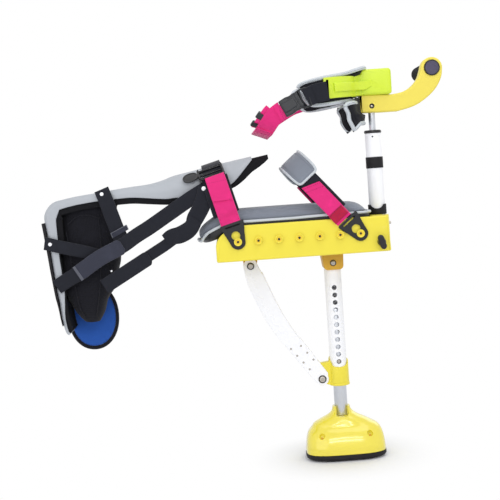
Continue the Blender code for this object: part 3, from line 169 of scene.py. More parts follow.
def lengths(path):
    """The length run from a path's start to each of its points."""
    return np.concatenate([[0], np.cumsum(np.linalg.norm(np.diff(path, axis=0), axis=1))])


def square_to(across, along):
    """Unit vectors of across less its share along a unit direction."""
    return unit(across - (across * along).sum(-1, keepdims=True) * along)


def upright(flat, y):
    """Rows of (x, z) as places at a depth y."""
    return np.stack([flat[:, 0], np.full(len(flat), y), flat[:, 1]], 1)


def level(flat, z):
    """Rows of (x, y) as places at a height z."""
    return np.column_stack([flat, np.full(len(flat), z)])


def mirrored(half):
    """A closed outline from its upper half: the points with y turned round, then the points."""
    return [(x, -y) for x, y in half[::-1]] + list(half)


def out_and_back(values):
    """The values, then the same in the other order."""
    return np.concatenate([values, values[::-1]])


def quarter(steps):
    """How far a rounded edge draws in, 1 - sin a, and how deep it lies, 1 - cos a, over a quarter turn."""
    a = np.radians(np.linspace(0, 90, steps))
    return 1 - np.sin(a), 1 - np.cos(a)


def ease(t):
    """0 below 0, 1 above 1, and 3 t^2 - 2 t^3 between."""
    t = np.clip(t, 0, 1)
    return t * t * (3 - 2 * t)


def arc(centre, radius, start, end, count):
    """Points at a radius from a centre, from one angle to another in degrees."""
    a = np.radians(np.linspace(start, end, count))
    return np.stack([centre[0] + radius * np.cos(a), centre[1] + radius * np.sin(a)], 1)


def through(points, steps):
    """A Catmull-Rom curve: cubics that pass every point with the slope of its two neighbours."""
    p = floats(points)
    q = np.vstack([2 * p[0] - p[1], p, 2 * p[-1] - p[-2]])
    t = (np.arange(steps) / steps)[None, :, None]
    a, b, c, d = (q[i : len(q) - 3 + i][:, None] for i in range(4))
    curve = 0.5 * (2 * b + (c - a) * t + (2 * a - 5 * b + 4 * c - d) * t**2 + (3 * b - a - 3 * c + d) * t**3)
    return np.vstack([curve.reshape(-1, p.shape[1]), p[-1]])


def evenly(path, count, start=0, stop=1):
    """Points at equal steps of length along a path, between two shares of its length."""
    path = floats(path)
    run = lengths(path)
    at = np.linspace(start, stop, count) * run[-1]
    return np.stack([np.interp(at, run, path[:, k]) for k in range(path.shape[1])], 1)


def oval(half_x, half_y, power, count):
    """|x/a|^n + |y/b|^n = 1, at equal steps of length."""
    a = np.linspace(0, math.tau, count * 6 + 1)
    wave = np.stack([np.cos(a), np.sin(a)], 1)
    return evenly((half_x, half_y) * np.sign(wave) * np.abs(wave) ** (2 / power), count + 1)[:-1]


def rounded(half_x, half_y, radius, steps=4, across=1):
    """A rounded rectangle, its long sides split into a number of pieces."""
    x, y = half_x - radius, half_y - radius
    right = np.vstack([arc((x, -y), radius, -90, 0, steps), arc((x, y), radius, 0, 90, steps)])
    left = np.vstack([arc((-x, y), radius, 90, 180, steps), arc((-x, -y), radius, 180, 270, steps)])
    inner = np.linspace(x, -x, across + 1)[1:-1]
    top = np.stack([inner, np.full(len(inner), half_y)], 1)
    return np.vstack([right, top, left, -top])


def fillet(points, tangent, steps=6):
    """Each corner of an outline becomes a parabola that starts and ends a tangent length from it."""
    p = floats(points)
    size = np.broadcast_to(floats(tangent), len(p))
    before, after = unit(np.roll(p, 1, 0) - p), unit(np.roll(p, -1, 0) - p)
    t = np.linspace(0, 1, steps)[:, None]
    made = []
    for corner, back, on, reach in zip(p, before, after, size):
        curve = (1 - t) ** 2 * (corner + back * reach) + 2 * t * (1 - t) * corner + t**2 * (corner + on * reach)
        made.append(curve if reach > 0 else corner[None])
    return np.vstack(made)


def outward(outline):
    """Unit normals of a closed outline, from the chord between each point's neighbours."""
    chord = unit(np.roll(outline, -1, 0) - np.roll(outline, 1, 0))
    normal = np.stack([chord[:, 1], -chord[:, 0]], 1)
    area = np.sum(outline[:, 0] * np.roll(outline[:, 1], -1) - np.roll(outline[:, 0], -1) * outline[:, 1])
    return normal if area > 0 else -normal


def round_points(count):
    """Points round a circle of radius 1."""
    a = np.arange(count) / count * math.tau
    return np.stack([np.cos(a), np.sin(a)], 1)


def turned_by(points, degrees):
    """Rows of two coordinates turned anticlockwise about the origin."""
    c, s = math.cos(math.radians(degrees)), math.sin(math.radians(degrees))
    return np.asarray(points) @ np.array([[c, s], [-s, c]])


# Surfaces

class Patch:
    """A grid of points: rows along, columns round, or a whole stack of such grids.

    around closes the columns and ring the rows. caps closes the end rows: "fan" about their middle,
    "gon" with one flat face, or None.
    """

    def __init__(self, points, around=True, ring=False, caps="fan"):
        points = floats(points)
        self.points = points[None] if points.ndim == 3 else points
        self.around, self.ring = around, ring
        self.caps = None if ring or not around else caps


def run_along(points, axis, other):
    """Length from the first point along one axis, averaged over the other."""
    step = np.linalg.norm(np.diff(points, axis=axis), axis=-1).mean(axis=other)
    return np.concatenate([np.zeros((len(points), 1)), np.cumsum(step, 1)], 1)


def faces_of(patch, base):
    """Places, faces and flat coordinates of one patch; faces point out of a closed one."""
    p = patch.points
    k, n, m = p.shape[:3]
    index = np.arange(k * n * m).reshape(k, n, m)
    grid, full = index, p
    if patch.ring:
        grid, full = np.concatenate([grid, grid[:, :1]], 1), np.concatenate([full, full[:, :1]], 1)
    if patch.around:
        grid, full = np.concatenate([grid, grid[:, :, :1]], 2), np.concatenate([full, full[:, :, :1]], 2)
    u = np.broadcast_to(run_along(full, 2, 1)[:, None, :], grid.shape)
    v = np.broadcast_to(run_along(full, 1, 2)[:, :, None], grid.shape)
    flat = np.stack([u, v], -1) * MM

    def corners(a):
        """The four corners of every face of a grid of values."""
        return np.stack([a[:, :-1, :-1], a[:, 1:, :-1], a[:, 1:, 1:], a[:, :-1, 1:]], 3)

    places = [p.reshape(-1, 3)]
    faces = [corners(grid).reshape(-1, 4)]
    maps = [corners(flat).reshape(-1, 4, 2)]
    extra = k * n * m
    for end in (0, n - 1):
        if patch.caps == "fan":
            places.append(p[:, end].mean(1))
            middle = np.broadcast_to(extra + np.arange(k)[:, None], (k, m))
            row, after = index[:, end], np.roll(index[:, end], -1, 1)
            order = (row, after, middle) if end == 0 else (after, row, middle)
            faces.append(np.stack(order, -1).reshape(-1, 3))
            maps.append(np.repeat(flat[:, end, :m].reshape(-1, 1, 2), 3, 1))
            extra += k
        elif patch.caps == "gon":
            faces.append(index[:, end] if end == 0 else index[:, end, ::-1])
            maps.append(np.broadcast_to(flat[:, end, :m], (k, m, 2)))
    places = np.vstack(places)
    if patch.around and (patch.ring or patch.caps):
        volume = 0
        for f in faces:
            for j in range(1, f.shape[1] - 1):
                a, b, c = places[f[:, 0]], places[f[:, j]], places[f[:, j + 1]]
                volume += np.einsum("ij,ij->", a, np.cross(b, c))
        if volume < 0:
            faces, maps = [f[:, ::-1] for f in faces], [w[:, ::-1] for w in maps]
    return places, [f + base for f in faces], maps


def mesh_of(name, patches, smooth=HARD):
    """One mesh from patches, with a flat map in metres and edges sharper than an angle kept sharp."""
    places, faces, maps, base = [], [], [], 0
    for patch in [patches] if isinstance(patches, Patch) else patches:
        p, f, w = faces_of(patch, base)
        places.append(p)
        faces += f
        maps += w
        base += len(p)
    mesh = bpy.data.meshes.new(name)
    mesh.vertices.add(base)
    mesh.vertices.foreach_set("co", (np.vstack(places) * MM).astype(np.float32).ravel())
    corner = np.concatenate([f.ravel() for f in faces])
    sizes = np.concatenate([np.full(len(f), f.shape[1]) for f in faces])
    mesh.loops.add(len(corner))
    mesh.loops.foreach_set("vertex_index", corner.astype(np.int32))
    mesh.polygons.add(len(sizes))
    mesh.polygons.foreach_set("loop_start", np.concatenate([[0], np.cumsum(sizes)[:-1]]).astype(np.int32))
    mesh.update(calc_edges=True)
    layer = mesh.uv_layers.new(name="lay")
    layer.data.foreach_set("uv", np.concatenate([w.reshape(-1, 2) for w in maps]).astype(np.float32).ravel())
    mesh.validate()
    mesh.shade_smooth()
    mesh.set_sharp_from_angle(angle=math.radians(smooth))
    return mesh


def piece(name, patches, finish, body, nodes=(), smooth=HARD):
    """A piece of the walker from one patch or a list of them: its mesh, its finish, the body it rides
    on, and the nodes it stands for."""
    obj = bpy.data.objects.new(name, mesh_of(name, patches, smooth))
    bpy.context.scene.collection.objects.link(obj)
    own_slot, material = finish_of(finish)
    obj.data.materials.append(material)
    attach(obj, body)
    if nodes:
        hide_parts(*nodes)
    return obj


def settle(obj, smooth):
    """Makes an object's modifiers its mesh."""
    bpy.context.view_layer.update()
    shown = obj.evaluated_get(bpy.context.evaluated_depsgraph_get())
    mesh = bpy.data.meshes.new_from_object(shown)
    mesh.name = obj.name
    obj.modifiers.clear()
    obj.data = mesh
    mesh.shade_smooth()
    mesh.set_sharp_from_angle(angle=math.radians(smooth))
    return obj


def fetched(items, key, width=1, kind=float):
    """One property of every item of a mesh, as an array."""
    values = np.zeros(len(items) * width, kind)
    items.foreach_get(key, values)
    return values.reshape(-1, width) if width > 1 else values


def flattened(obj, cuts):
    """Cuts the mesh across at these x, so that no face is long. Corners of level faces, and of the
    rounded edges that touch them, get the level face's own normal, so that long thin triangles don't
    show. A face is level where its normal lies on an axis."""
    mesh = obj.data
    work = bmesh.new()
    work.from_mesh(mesh)
    for x in cuts:
        bmesh.ops.bisect_plane(work, geom=[*work.verts, *work.edges, *work.faces], dist=1e-6,
                               plane_co=(x * MM, 0, 0), plane_no=(1, 0, 0))
    work.to_mesh(mesh)
    work.free()
    normals, areas = fetched(mesh.polygons, "normal", 3), fetched(mesh.polygons, "area")
    totals, corners = fetched(mesh.polygons, "loop_total", 1, int), fetched(mesh.loops, "vertex_index", 1, int)
    shown = fetched(mesh.corner_normals, "vector", 3)
    least_area = 4e-6
    flat = np.repeat((np.abs(normals).max(1) > 0.99999) & (areas > least_area), totals)
    best = np.zeros((len(mesh.vertices), 3))
    best[corners[flat]] = np.repeat(normals, totals, axis=0)[flat]
    near = (best[corners] * shown).sum(1) > 0.8
    shown[near] = best[corners][near]
    starts = np.concatenate([[0], np.cumsum(totals)[:-1]])
    mean = np.add.reduceat(best[corners], starts) / totals[:, None]
    within = np.repeat(np.linalg.norm(mean, axis=1) > 0.999, totals)
    shown[within] = best[corners][within]
    mesh.normals_split_custom_set(shown)
    return obj


def shaped(obj, patches, smooth=HARD, operation="DIFFERENCE"):
    """Cuts closed patches out of an object, or joins them to it, with one boolean."""
    tool = bpy.data.objects.new("tool", mesh_of("tool", patches))
    bpy.context.scene.collection.objects.link(tool)
    change = obj.modifiers.new("shape", "BOOLEAN")
    change.operation, change.object, change.solver = operation, tool, "MANIFOLD"
    settle(obj, smooth)
    bpy.data.objects.remove(tool, do_unlink=True)
    return obj


def joined(obj, patches, smooth=HARD):
    """Joins closed patches to an object."""
    return shaped(obj, patches, smooth, "UNION")


def lined(outer, inner, up):
    """A closed wall between two grids with matching rows: each row runs over the outer grid, round a
    half circle at its last column, back over the inner grid, and round another at its first."""
    a = np.radians(np.linspace(-90, 90, 6))[1:-1, None]

    def turn(first, last):
        """Places round a half circle from one edge to the other."""
        half, middle = (last - first) / 2, (last + first) / 2
        reach = np.linalg.norm(half, axis=-1)[:, None, None]
        return middle[:, None] + half[:, None] * np.sin(a) + up[:, None] * np.cos(a) * reach * 0.9

    rows = [outer, turn(outer[:, -1], inner[:, -1]), inner[:, ::-1], turn(inner[:, 0], outer[:, 0])]
    return Patch(np.concatenate(rows, 1), caps="gon")


def sweep(section, path, across, wide=1, thick=1, closed=False):
    """A flat section carried along a path: its first coordinate along across, its second along
    the cross product of the path's direction and that."""
    path, section = floats(path), floats(section)
    tangent = unit(np.roll(path, -1, 0) - np.roll(path, 1, 0) if closed else np.gradient(path, axis=0))
    side = square_to(np.broadcast_to(floats(across), path.shape), tangent)
    wide, thick = (np.broadcast_to(floats(v), len(path))[:, None, None] for v in (wide, thick))
    first, second = section[None, :, 0:1] * wide, section[None, :, 1:2] * thick
    return path[:, None] + side[:, None] * first + np.cross(tangent, side)[:, None] * second


def lathe(profile, centre, axis="Z", columns=None, sign=1):
    """Rows of (radius, height) turned about an axis, Z or Y, through a centre."""
    columns = columns or bpy.context.scene.walker_sizes.columns
    profile = floats(profile)
    a = np.arange(columns) / columns * math.tau
    c, s = profile[:, 0:1] * np.cos(a), profile[:, 0:1] * np.sin(a)
    h = np.broadcast_to(profile[:, 1:2] * sign, c.shape)
    return np.stack((c, s, h) if axis == "Z" else (c, h, s), -1) + floats(centre)


def hoop(section, x, columns=96):
    """A closed (radius, height) section turned about an upright axis at a place x."""
    return Patch(lathe(section, (x, 0, 0), columns=columns), ring=True)


def tube_patch(outer, inner, low, high, x, edge=0.6, top=None, columns=None):
    """An upright tube at a place x: its wall's section, four edges rounded, turned round. top(x, y) may
    lower or raise its upper rim, and the wall stretches with it."""
    thick = (outer - inner) / 2
    section = rounded(thick, (high - low) / 2, min(edge, thick * 0.9), 3)
    made = hoop(section + ((outer + inner) / 2, (high + low) / 2), x, columns)
    if top:
        p = made.points
        share = np.clip((p[..., 2] - low) / (high - low), 0, 1)
        p[..., 2] = low + share * (top(p[..., 0] - x, p[..., 1]) - low)
    return made


def slab(outline, half, rounding, y=0, steps=4):
    """A flat outline in the XZ plane with a thickness along Y: each row is the outline moved inwards
    by rounding (1 - sin a) at a depth of rounding (1 - cos a) from the face."""
    outline = floats(outline)
    inset, depth = (rounding * v for v in quarter(steps))
    inset = out_and_back(np.concatenate([[rounding + 0.5], inset]))
    depth = np.concatenate([[0], depth])
    across = np.concatenate([-half + depth, (half - depth)[::-1]])
    flat = outline[None] - outward(outline)[None] * inset[:, None, None]
    depths = np.broadcast_to(across[:, None] + y, flat.shape[:2])
    return Patch(np.stack([flat[..., 0], depths, flat[..., 1]], -1), caps="gon")


def block(low, high, rounding=0, steps=4):
    """A box whose plan is a rounded rectangle and whose top and bottom edges are rounded too."""
    low, high = floats(low), floats(high)
    half, centre = (high - low) / 2, (high + low) / 2
    if not rounding:
        plan = np.array([(1, -1), (1, 1), (-1, 1), (-1, -1)]) * half[:2] + centre[:2]
        return Patch([level(plan, z) for z in (low[2], high[2])], caps="gon")
    inset, height = quarter(steps)
    inset = out_and_back(np.concatenate([[rounding * 0.98 + 0.4], rounding * 0.98 * inset]))
    height = np.concatenate([[0], rounding * height])
    z = np.concatenate([low[2] + height, (high[2] - height)[::-1]])
    plan = rounded(half[0], half[1], rounding, steps)
    x = plan[None] - outward(plan)[None] * inset[:, None, None]
    z = np.broadcast_to(z[:, None, None], (*x.shape[:2], 1))
    return Patch(np.concatenate([x + centre[:2], z], -1), caps="gon")


def bar(start, end, across, section, swell):
    """A section carried from one point to another, drawn in at both ends by a swell to round their
    edges."""
    start, end, section = (floats(v) for v in (start, end, section))
    length = np.linalg.norm(end - start)
    inset, depth = (swell * v for v in quarter(4))
    at = np.concatenate([depth, length - depth[::-1]]) / length
    shrink, slim = (out_and_back(1 - inset / np.abs(v).max())[:, None, None] for v in (section, section[:, 1]))
    path = start + (end - start) * at[:, None]
    along = unit(end - start)
    side = square_to(floats(across), along)
    first, second = section[None, :, 0:1] * shrink, section[None, :, 1:2] * slim
    return Patch(path[:, None] + side * first + np.cross(along, side) * second)


def tape_section(width, thick):
    """Webbing's section: a thin rectangle whose edges are nearly round."""
    return rounded(width / 2, thick / 2, thick * 0.42, 3, 8)


def pipe(path, radius, across=(0, 0, 1), closed=False, columns=12):
    """A round cord along a path."""
    section = radius * round_points(columns)
    return Patch(sweep(section, path, across, closed=closed), ring=closed)


def ribbon(path, across, width, thickness=None, wide=1, wave=0, seed=0):
    """Flat webbing: a thin rounded rectangle, its face lifted by a slow wave along the path."""
    thickness = thickness or setting("webbing")
    path = floats(path)
    p = sweep(tape_section(width, thickness), path, across, wide)
    if wave:
        phase = np.random.default_rng(seed).uniform(0, math.tau, 2)
        share = np.linspace(0, 1, len(path))
        run = share * lengths(path)[-1]
        lift = wave * (np.sin(run / 17 + phase[0]) + 0.5 * np.sin(run / 8 + phase[1])) * np.sin(math.pi * share)
        tangent = unit(np.gradient(path, axis=0))
        side = square_to(floats(across), tangent)
        p = p + np.cross(tangent, side)[:, None] * lift[:, None, None]
    return Patch(p)


def stitches(path, normal, lift=0):
    """A row of stitches: small oval grains at equal steps along a path, laid along it and lifted along
    one normal or one for each point."""
    length, gap, thread = setting("stitch"), 0.9, 0.42
    path = floats(path)
    count = max(2, int(lengths(path)[-1] / (length + gap)))
    at = evenly(path, count)
    along = unit(np.gradient(at, axis=0))
    normal = np.atleast_2d(floats(normal))
    share = np.linspace(0, len(normal) - 1, count)
    normal = unit(np.stack([np.interp(share, np.arange(len(normal)), normal[:, k]) for k in range(3)], 1))
    t = np.radians([25, 65, 115, 155])
    x, r = -np.cos(t) * length / 2, (np.sin(t) * thread)[:, None, None] * round_points(6)
    along, side, up = (v[:, None, None] for v in (along, np.cross(along, normal), normal))
    ring = along * x[None, :, None, None] + side * r[None, ..., 0:1] + up * r[None, ..., 1:2]
    return Patch((at + normal * lift)[:, None, None] + ring)


class Lay:
    """Bends flat drawings onto a strap's way: (place along, height above, place across) becomes the
    way's point there, plus height times its face's direction, plus across times its width's."""

    def __init__(self, run, path, face, wide):
        self.run, self.path, self.face = (floats(v) for v in (run, path, face))
        self.wide = np.broadcast_to(floats(wide), self.path.shape)

    def at(self, where, rows):
        """Rows between the way's own, at places along it."""
        return np.stack([np.interp(where, self.run, rows[:, k]) for k in range(3)], -1)

    def places(self, points):
        """Flat points bent onto the way."""
        p = floats(points)
        face, wide = unit(self.at(p[..., 0], self.face)), unit(self.at(p[..., 0], self.wide))
        return self.at(p[..., 0], self.path) + face * p[..., 1:2] + wide * p[..., 2:3]

    def put(self, *patches):
        """Flat patches bent onto the way."""
        for patch in patches:
            patch.points = self.places(patch.points)
        return list(patches)

    def seam(self, line, lift, steps=24):
        """Stitches along a flat line of (along, across) points."""
        flat = evenly(line, steps)
        return stitches(self.places(upright(flat, lift)), unit(self.at(flat[:, 0].mean(), self.face)))


def strip(start, stop, width, middle=0, lift=0, thick=None, lean=(0, 0), count=24, bulge=None):
    """Flat webbing between two places along: both ends may lean, by so much per unit of width, and
    bulge(share) lifts it."""
    section = tape_section(width, thick or setting("webbing"))
    share = np.linspace(0, 1, count)[:, None]
    low, high = start + lean[0] * section[:, 0], stop + lean[1] * section[:, 0]
    up = section[:, 1] + lift + (bulge(share) if bulge else np.zeros_like(share))
    across = np.broadcast_to(section[:, 0] + middle, up.shape)
    return Patch(np.stack([low + (high - low) * share, up, across], -1))


def pillow(length, width, thick, middle, lift, corner, count):
    """A flat cushion: half width and half height at s are W (1 - |s/L|^n)^(1/n), its section across
    a superellipse."""
    across = 40
    s = np.sin(np.radians(np.linspace(-90, 90, count)))
    full = np.maximum(1 - np.abs(s) ** corner, 1e-4) ** (1 / corner)
    plump = np.maximum(1 - np.abs(s) ** (corner * 1.4), 1e-4) ** (1 / 2.4)
    section = oval(width / 2, thick / 2, 3.2, across)
    along = np.broadcast_to((s * length / 2 + middle[0])[:, None], (count, across))
    up = section[None, :, 1] * plump[:, None] + lift
    return Patch(np.stack([along, up, section[None, :, 0] * full[:, None] + middle[1]], -1))


def sections(x, across, up):
    """Upright sections at places along X, from rows of how far across and how high."""
    return Patch(np.stack([np.broadcast_to(x[:, None], up.shape), across, up], -1))


def setting(name):
    """One of the small sizes, in millimetres."""
    return getattr(bpy.context.scene.walker_sizes, name) / MM


# Materials

def maths(operation, turned_round=False):
    """A method of Link that adds one Math node of its value and the others, or of them in the other
    order."""
    def method(self, *others):
        """One Math node."""
        values = (*others, self) if turned_round else (self, *others)
        return self.board.add("ShaderNodeMath", {"operation": operation}, dict(enumerate(values)))

    return method


class Link:
    """A value on a board. Arithmetic on it adds Math nodes."""

    def __init__(self, board, socket):
        self.board, self.socket = board, socket

    __add__ = __radd__ = maths("ADD")
    __mul__ = __rmul__ = maths("MULTIPLY")
    __sub__, __rsub__ = maths("SUBTRACT"), maths("SUBTRACT", turned_round=True)
    __truediv__, __pow__ = maths("DIVIDE"), maths("POWER")
    sine, floor, larger = maths("SINE"), maths("FLOOR"), maths("MAXIMUM")

    def between(self, low, high):
        """0 below low, 1 above high, smooth between."""
        settings = {"interpolation_type": "SMOOTHSTEP", "clamp": True}
        return self.board.add("ShaderNodeMapRange", settings, {0: self, 1: low, 2: high, 3: 0, 4: 1})


class Board:
    """The nodes of one tree."""

    def __init__(self, owner):
        owner.use_nodes = True
        self.tree = owner.node_tree

    def add(self, kind, settings, sockets, output=0):
        """Makes any node, with its settings first, then its sockets, and gives one output."""
        node = self.tree.nodes.new(kind)
        for key, value in settings.items():
            setattr(node, key, value)
        for key, value in sockets.items():
            self.put(node.inputs[key], value)
        return Link(self, node.outputs[output])

    def put(self, socket, value):
        """Links a socket to a value on the board, or sets it to a plain one."""
        if isinstance(value, Link):
            self.tree.links.new(value.socket, socket)
        else:
            socket.default_value = value


class Paint(Board):
    """The nodes of one material, round its surface shader."""

    def __init__(self, name):
        self.material = bpy.data.materials.new(name)
        super().__init__(self.material)
        self.shader, self.out = (self.tree.nodes[n] for n in ("Principled BSDF", "Material Output"))
        self.place = self.add("ShaderNodeTexCoord", {}, {}, 3)

    def shade(self, **sockets):
        """Fills the surface shader's sockets by name, with _ for a space."""
        for key, value in sockets.items():
            self.put(self.shader.inputs[key.replace("_", " ")], value)
        return self.material

    def mix(self, first, second, share):
        """From one colour to another by a share."""
        first, second = ((*c, 1) if isinstance(c, tuple) else c for c in (first, second))
        return self.add("ShaderNodeMix", {"data_type": "RGBA"}, {0: share, 6: first, 7: second}, 2)

    def tones(self, colour, dark, light, share):
        """From a darker to a lighter tone of a colour by a share."""
        return self.mix(shade_of(colour, dark), shade_of(colour, light), share)

    def stretched(self, factors):
        """The place, longer or shorter along each axis."""
        return self.add("ShaderNodeVectorMath", {"operation": "MULTIPLY"}, {0: self.place, 1: factors})

    def axes(self, source):
        """The three coordinates of a vector."""
        node = self.add("ShaderNodeSeparateXYZ", {}, {0: source}).socket.node
        return [Link(self, node.outputs[i]) for i in range(3)]

    def flat(self):
        """Places across and along a piece's own map, in metres."""
        return self.axes(self.add("ShaderNodeUVMap", {"uv_map": "lay"}, {}))[:2]

    def noise(self, scale, detail=2, roughness=0.5, source=None):
        """Fractal noise from 0 to 1 at the place, or at another vector."""
        sockets = {"Vector": source or self.place, "Scale": scale, "Detail": detail, "Roughness": roughness}
        return self.add("ShaderNodeTexNoise", {}, sockets)

    def cells(self, scale):
        """Distance from the nearest of scattered points."""
        return self.add("ShaderNodeTexVoronoi", {}, {"Vector": self.place, "Scale": scale})

    def bump(self, height, depth):
        """Surface normals of a height from 0 to 1, as deep as depth in metres."""
        return self.add("ShaderNodeBump", {}, {"Height": height, "Distance": depth, "Strength": 1})


def shade_of(colour, factor):
    """A colour made darker or lighter by a factor."""
    return tuple(min(1, c * factor) for c in colour)


def moulded(name, colour, gloss, grain=0.00006, scuff=0.35, coat=0):
    """Moulded plastic: fine grain, slow cloudiness, and a few rubbed places that are paler and dull."""
    b = Paint(name)
    cloud = b.noise(7, 3)
    rubbed = b.noise(26, 6, 0.65).between(0.60, 0.74) * b.noise(160, 3).between(0.42, 0.62)
    line = b.noise(1, 2, 0.5, b.stretched((90, 900, 700))).between(0.70, 0.80)
    worn = (rubbed * 0.8 + line * 0.35) * scuff
    tone = b.mix(b.tones(colour, 0.95, 1.03, cloud), tuple(c + (1 - c) * 0.14 for c in colour), worn)
    fine = b.noise(1500, 2, 0.6) * 0.7 + b.noise(260) * 0.5
    return b.shade(Base_Color=tone, Roughness=gloss + cloud * 0.06 + worn * 0.35, Coat_Weight=coat,
                   Coat_Roughness=0.06, Normal=b.bump(fine, grain))


def painted(name, colour):
    """Powder coat: orange-peel waves, fine speckle, and a little grime in soft patches."""
    b = Paint(name)
    peel = b.noise(420, 1) * 0.6 + b.cells(900) * 0.4
    speck = b.cells(700).between(0.16, 0.08) * b.noise(30).between(0.45, 0.7)
    grime = b.noise(11, 4, 0.6).between(0.5, 0.8)
    tone = b.mix(b.mix(colour, shade_of(colour, 0.93), grime * 0.5), shade_of(colour, 0.72), speck * 0.45)
    return b.shade(Base_Color=tone, Roughness=0.34 + grime * 0.16 + peel * 0.05, Normal=b.bump(peel, 0.00009))


def drawn_metal(name, colour, streaks, roughness):
    """Drawn metal: fine streaks along one direction, with faint oxide clouds."""
    b = Paint(name)
    streak = b.noise(1, 3, 0.6, b.stretched(streaks))
    cloud = b.noise(18, 3)
    return b.shade(Base_Color=b.tones(colour, 0.84, 1.06, streak * 0.7 + cloud * 0.3), Metallic=0.9,
                   Roughness=roughness + streak * 0.16 + cloud * 0.05, Normal=b.bump(streak, 0.00004))


def plated(name, colour):
    """Zinc plate: mottled grains with small pits."""
    b = Paint(name)
    grain, pit = b.cells(600), b.noise(1400, 3)
    tone = b.tones(colour, 0.72, 1.1, grain.between(0.1, 0.6) * 0.6 + pit * 0.4)
    return b.shade(Base_Color=tone, Metallic=0.9, Roughness=0.28 + grain * 0.18, Normal=b.bump(pit, 0.00005))


def webbed(name, colour, sheen=0.25):
    """Flat webbing on its own map: cords along it, each crossed by picks that step half a pick from
    one cord to the next, with painted shade that darkens the grooves between them."""
    b = Paint(name)
    rib, pick = 0.0017, 0.0026
    u, v = b.flat()
    cord = u / rib
    column = cord.floor()
    over = ((cord - column) * math.pi).sine()
    cross = ((v / pick + column * 0.5) * math.tau).sine() * 0.5 + 0.5
    height = over ** 0.7 * (cross * 0.45 + 0.55)
    worn, fuzz = b.noise(45, 4, 0.6), b.noise(2200)
    # The tone is painted shade where the weave lies low, and paler where it is worn
    tone = b.tones(colour, 0.78, 1.08, height * 0.75 + worn * 0.25)
    tone = b.mix(tone, shade_of(colour, 1.3), worn.between(0.5, 0.8) * 0.5)
    return b.shade(Base_Color=tone, Roughness=0.72 - height * 0.14 + fuzz * 0.1, Sheen_Weight=sheen,
                   Sheen_Roughness=0.45, Specular_IOR_Level=0.25, Normal=b.bump(height + fuzz * 0.2, 0.00034))


def woven(name, colour, pitch, depth, dark=0.7, sheen=0.3, holes=0):
    """Cloth that needs no map: yarns along the three axes, sin x sin y + sin y sin z + sin z sin x,
    with slubs, and painted shade that darkens the low places of the yarns and the gaps of an open mesh."""
    b = Paint(name)
    x, y, z = ((a * (math.tau / pitch)).sine() for a in b.axes(b.place))
    yarn = (x * y + y * z + z * x) * 0.33 + 0.5
    slub, soft = b.noise(240, 3), b.noise(9, 3)
    # Painted shade: the gaps of an open mesh and the low places of the yarns are darker
    gap = yarn.between(0.34, 0.22) * holes
    tone = b.tones(colour, dark, 1.08, yarn * 0.6 + slub * 0.25 + soft * 0.15)
    tone = b.mix(tone, shade_of(colour, 0.3), gap)
    return b.shade(Base_Color=tone, Roughness=0.84 + slub * 0.1, Sheen_Weight=sheen, Sheen_Roughness=0.5,
                   Specular_IOR_Level=0.25, Normal=b.bump(yarn + slub * 0.35, depth))


def napped(name, colour):
    """Brushed lining: loose fibres that stand in clumps."""
    b = Paint(name)
    fibre, clump = b.noise(900, 5, 0.7), b.noise(120, 4, 0.6)
    return b.shade(Base_Color=b.tones(colour, 0.72, 1.3, fibre * 0.55 + clump * 0.45), Roughness=0.95,
                   Sheen_Weight=0.5, Sheen_Roughness=0.4, Normal=b.bump(fibre * 0.6 + clump * 0.4, 0.0006))


def foamed(name, colour):
    """Closed-cell foam: shallow pits of many sizes and a dusty bloom."""
    b = Paint(name)
    pit, bloom = b.cells(650), b.noise(22, 4)
    return b.shade(Base_Color=b.tones(colour, 0.7, 1.5, pit * 0.6 + bloom * 0.4), Roughness=0.86 + bloom * 0.08,
                   Specular_IOR_Level=0.25, Normal=b.bump(pit, 0.00035))


def rubbery(name, colour):
    """Moulded rubber: matt, finely pitted, with dust on it in patches."""
    b = Paint(name)
    dust = b.noise(40, 5, 0.65).between(0.5, 0.8)
    fine = b.noise(800, 3)
    tone = b.mix(colour, tuple(c * 1.5 + 0.012 for c in colour), dust * 0.6 + fine * 0.2)
    return b.shade(Base_Color=tone, Roughness=0.62 + dust * 0.2, Specular_IOR_Level=0.3,
                   Normal=b.bump(fine, 0.00012))


def taped(name, colour):
    """Binding tape: satin cords across it, with painted shade that darkens the hollows between them."""
    b = Paint(name)
    cord = (b.flat()[1] * (math.tau / 0.0014)).sine() * 0.5 + 0.5
    worn = b.noise(60, 3)
    # The tone is painted shade in the hollows between the cords, with worn patches
    tone = b.tones(colour, 0.74, 1.08, cord * 0.45 + worn * 0.55)
    return b.shade(Base_Color=tone, Roughness=0.5 + worn * 0.15, Sheen_Weight=0.3,
                   Normal=b.bump(cord + worn * 0.5, 0.0002))


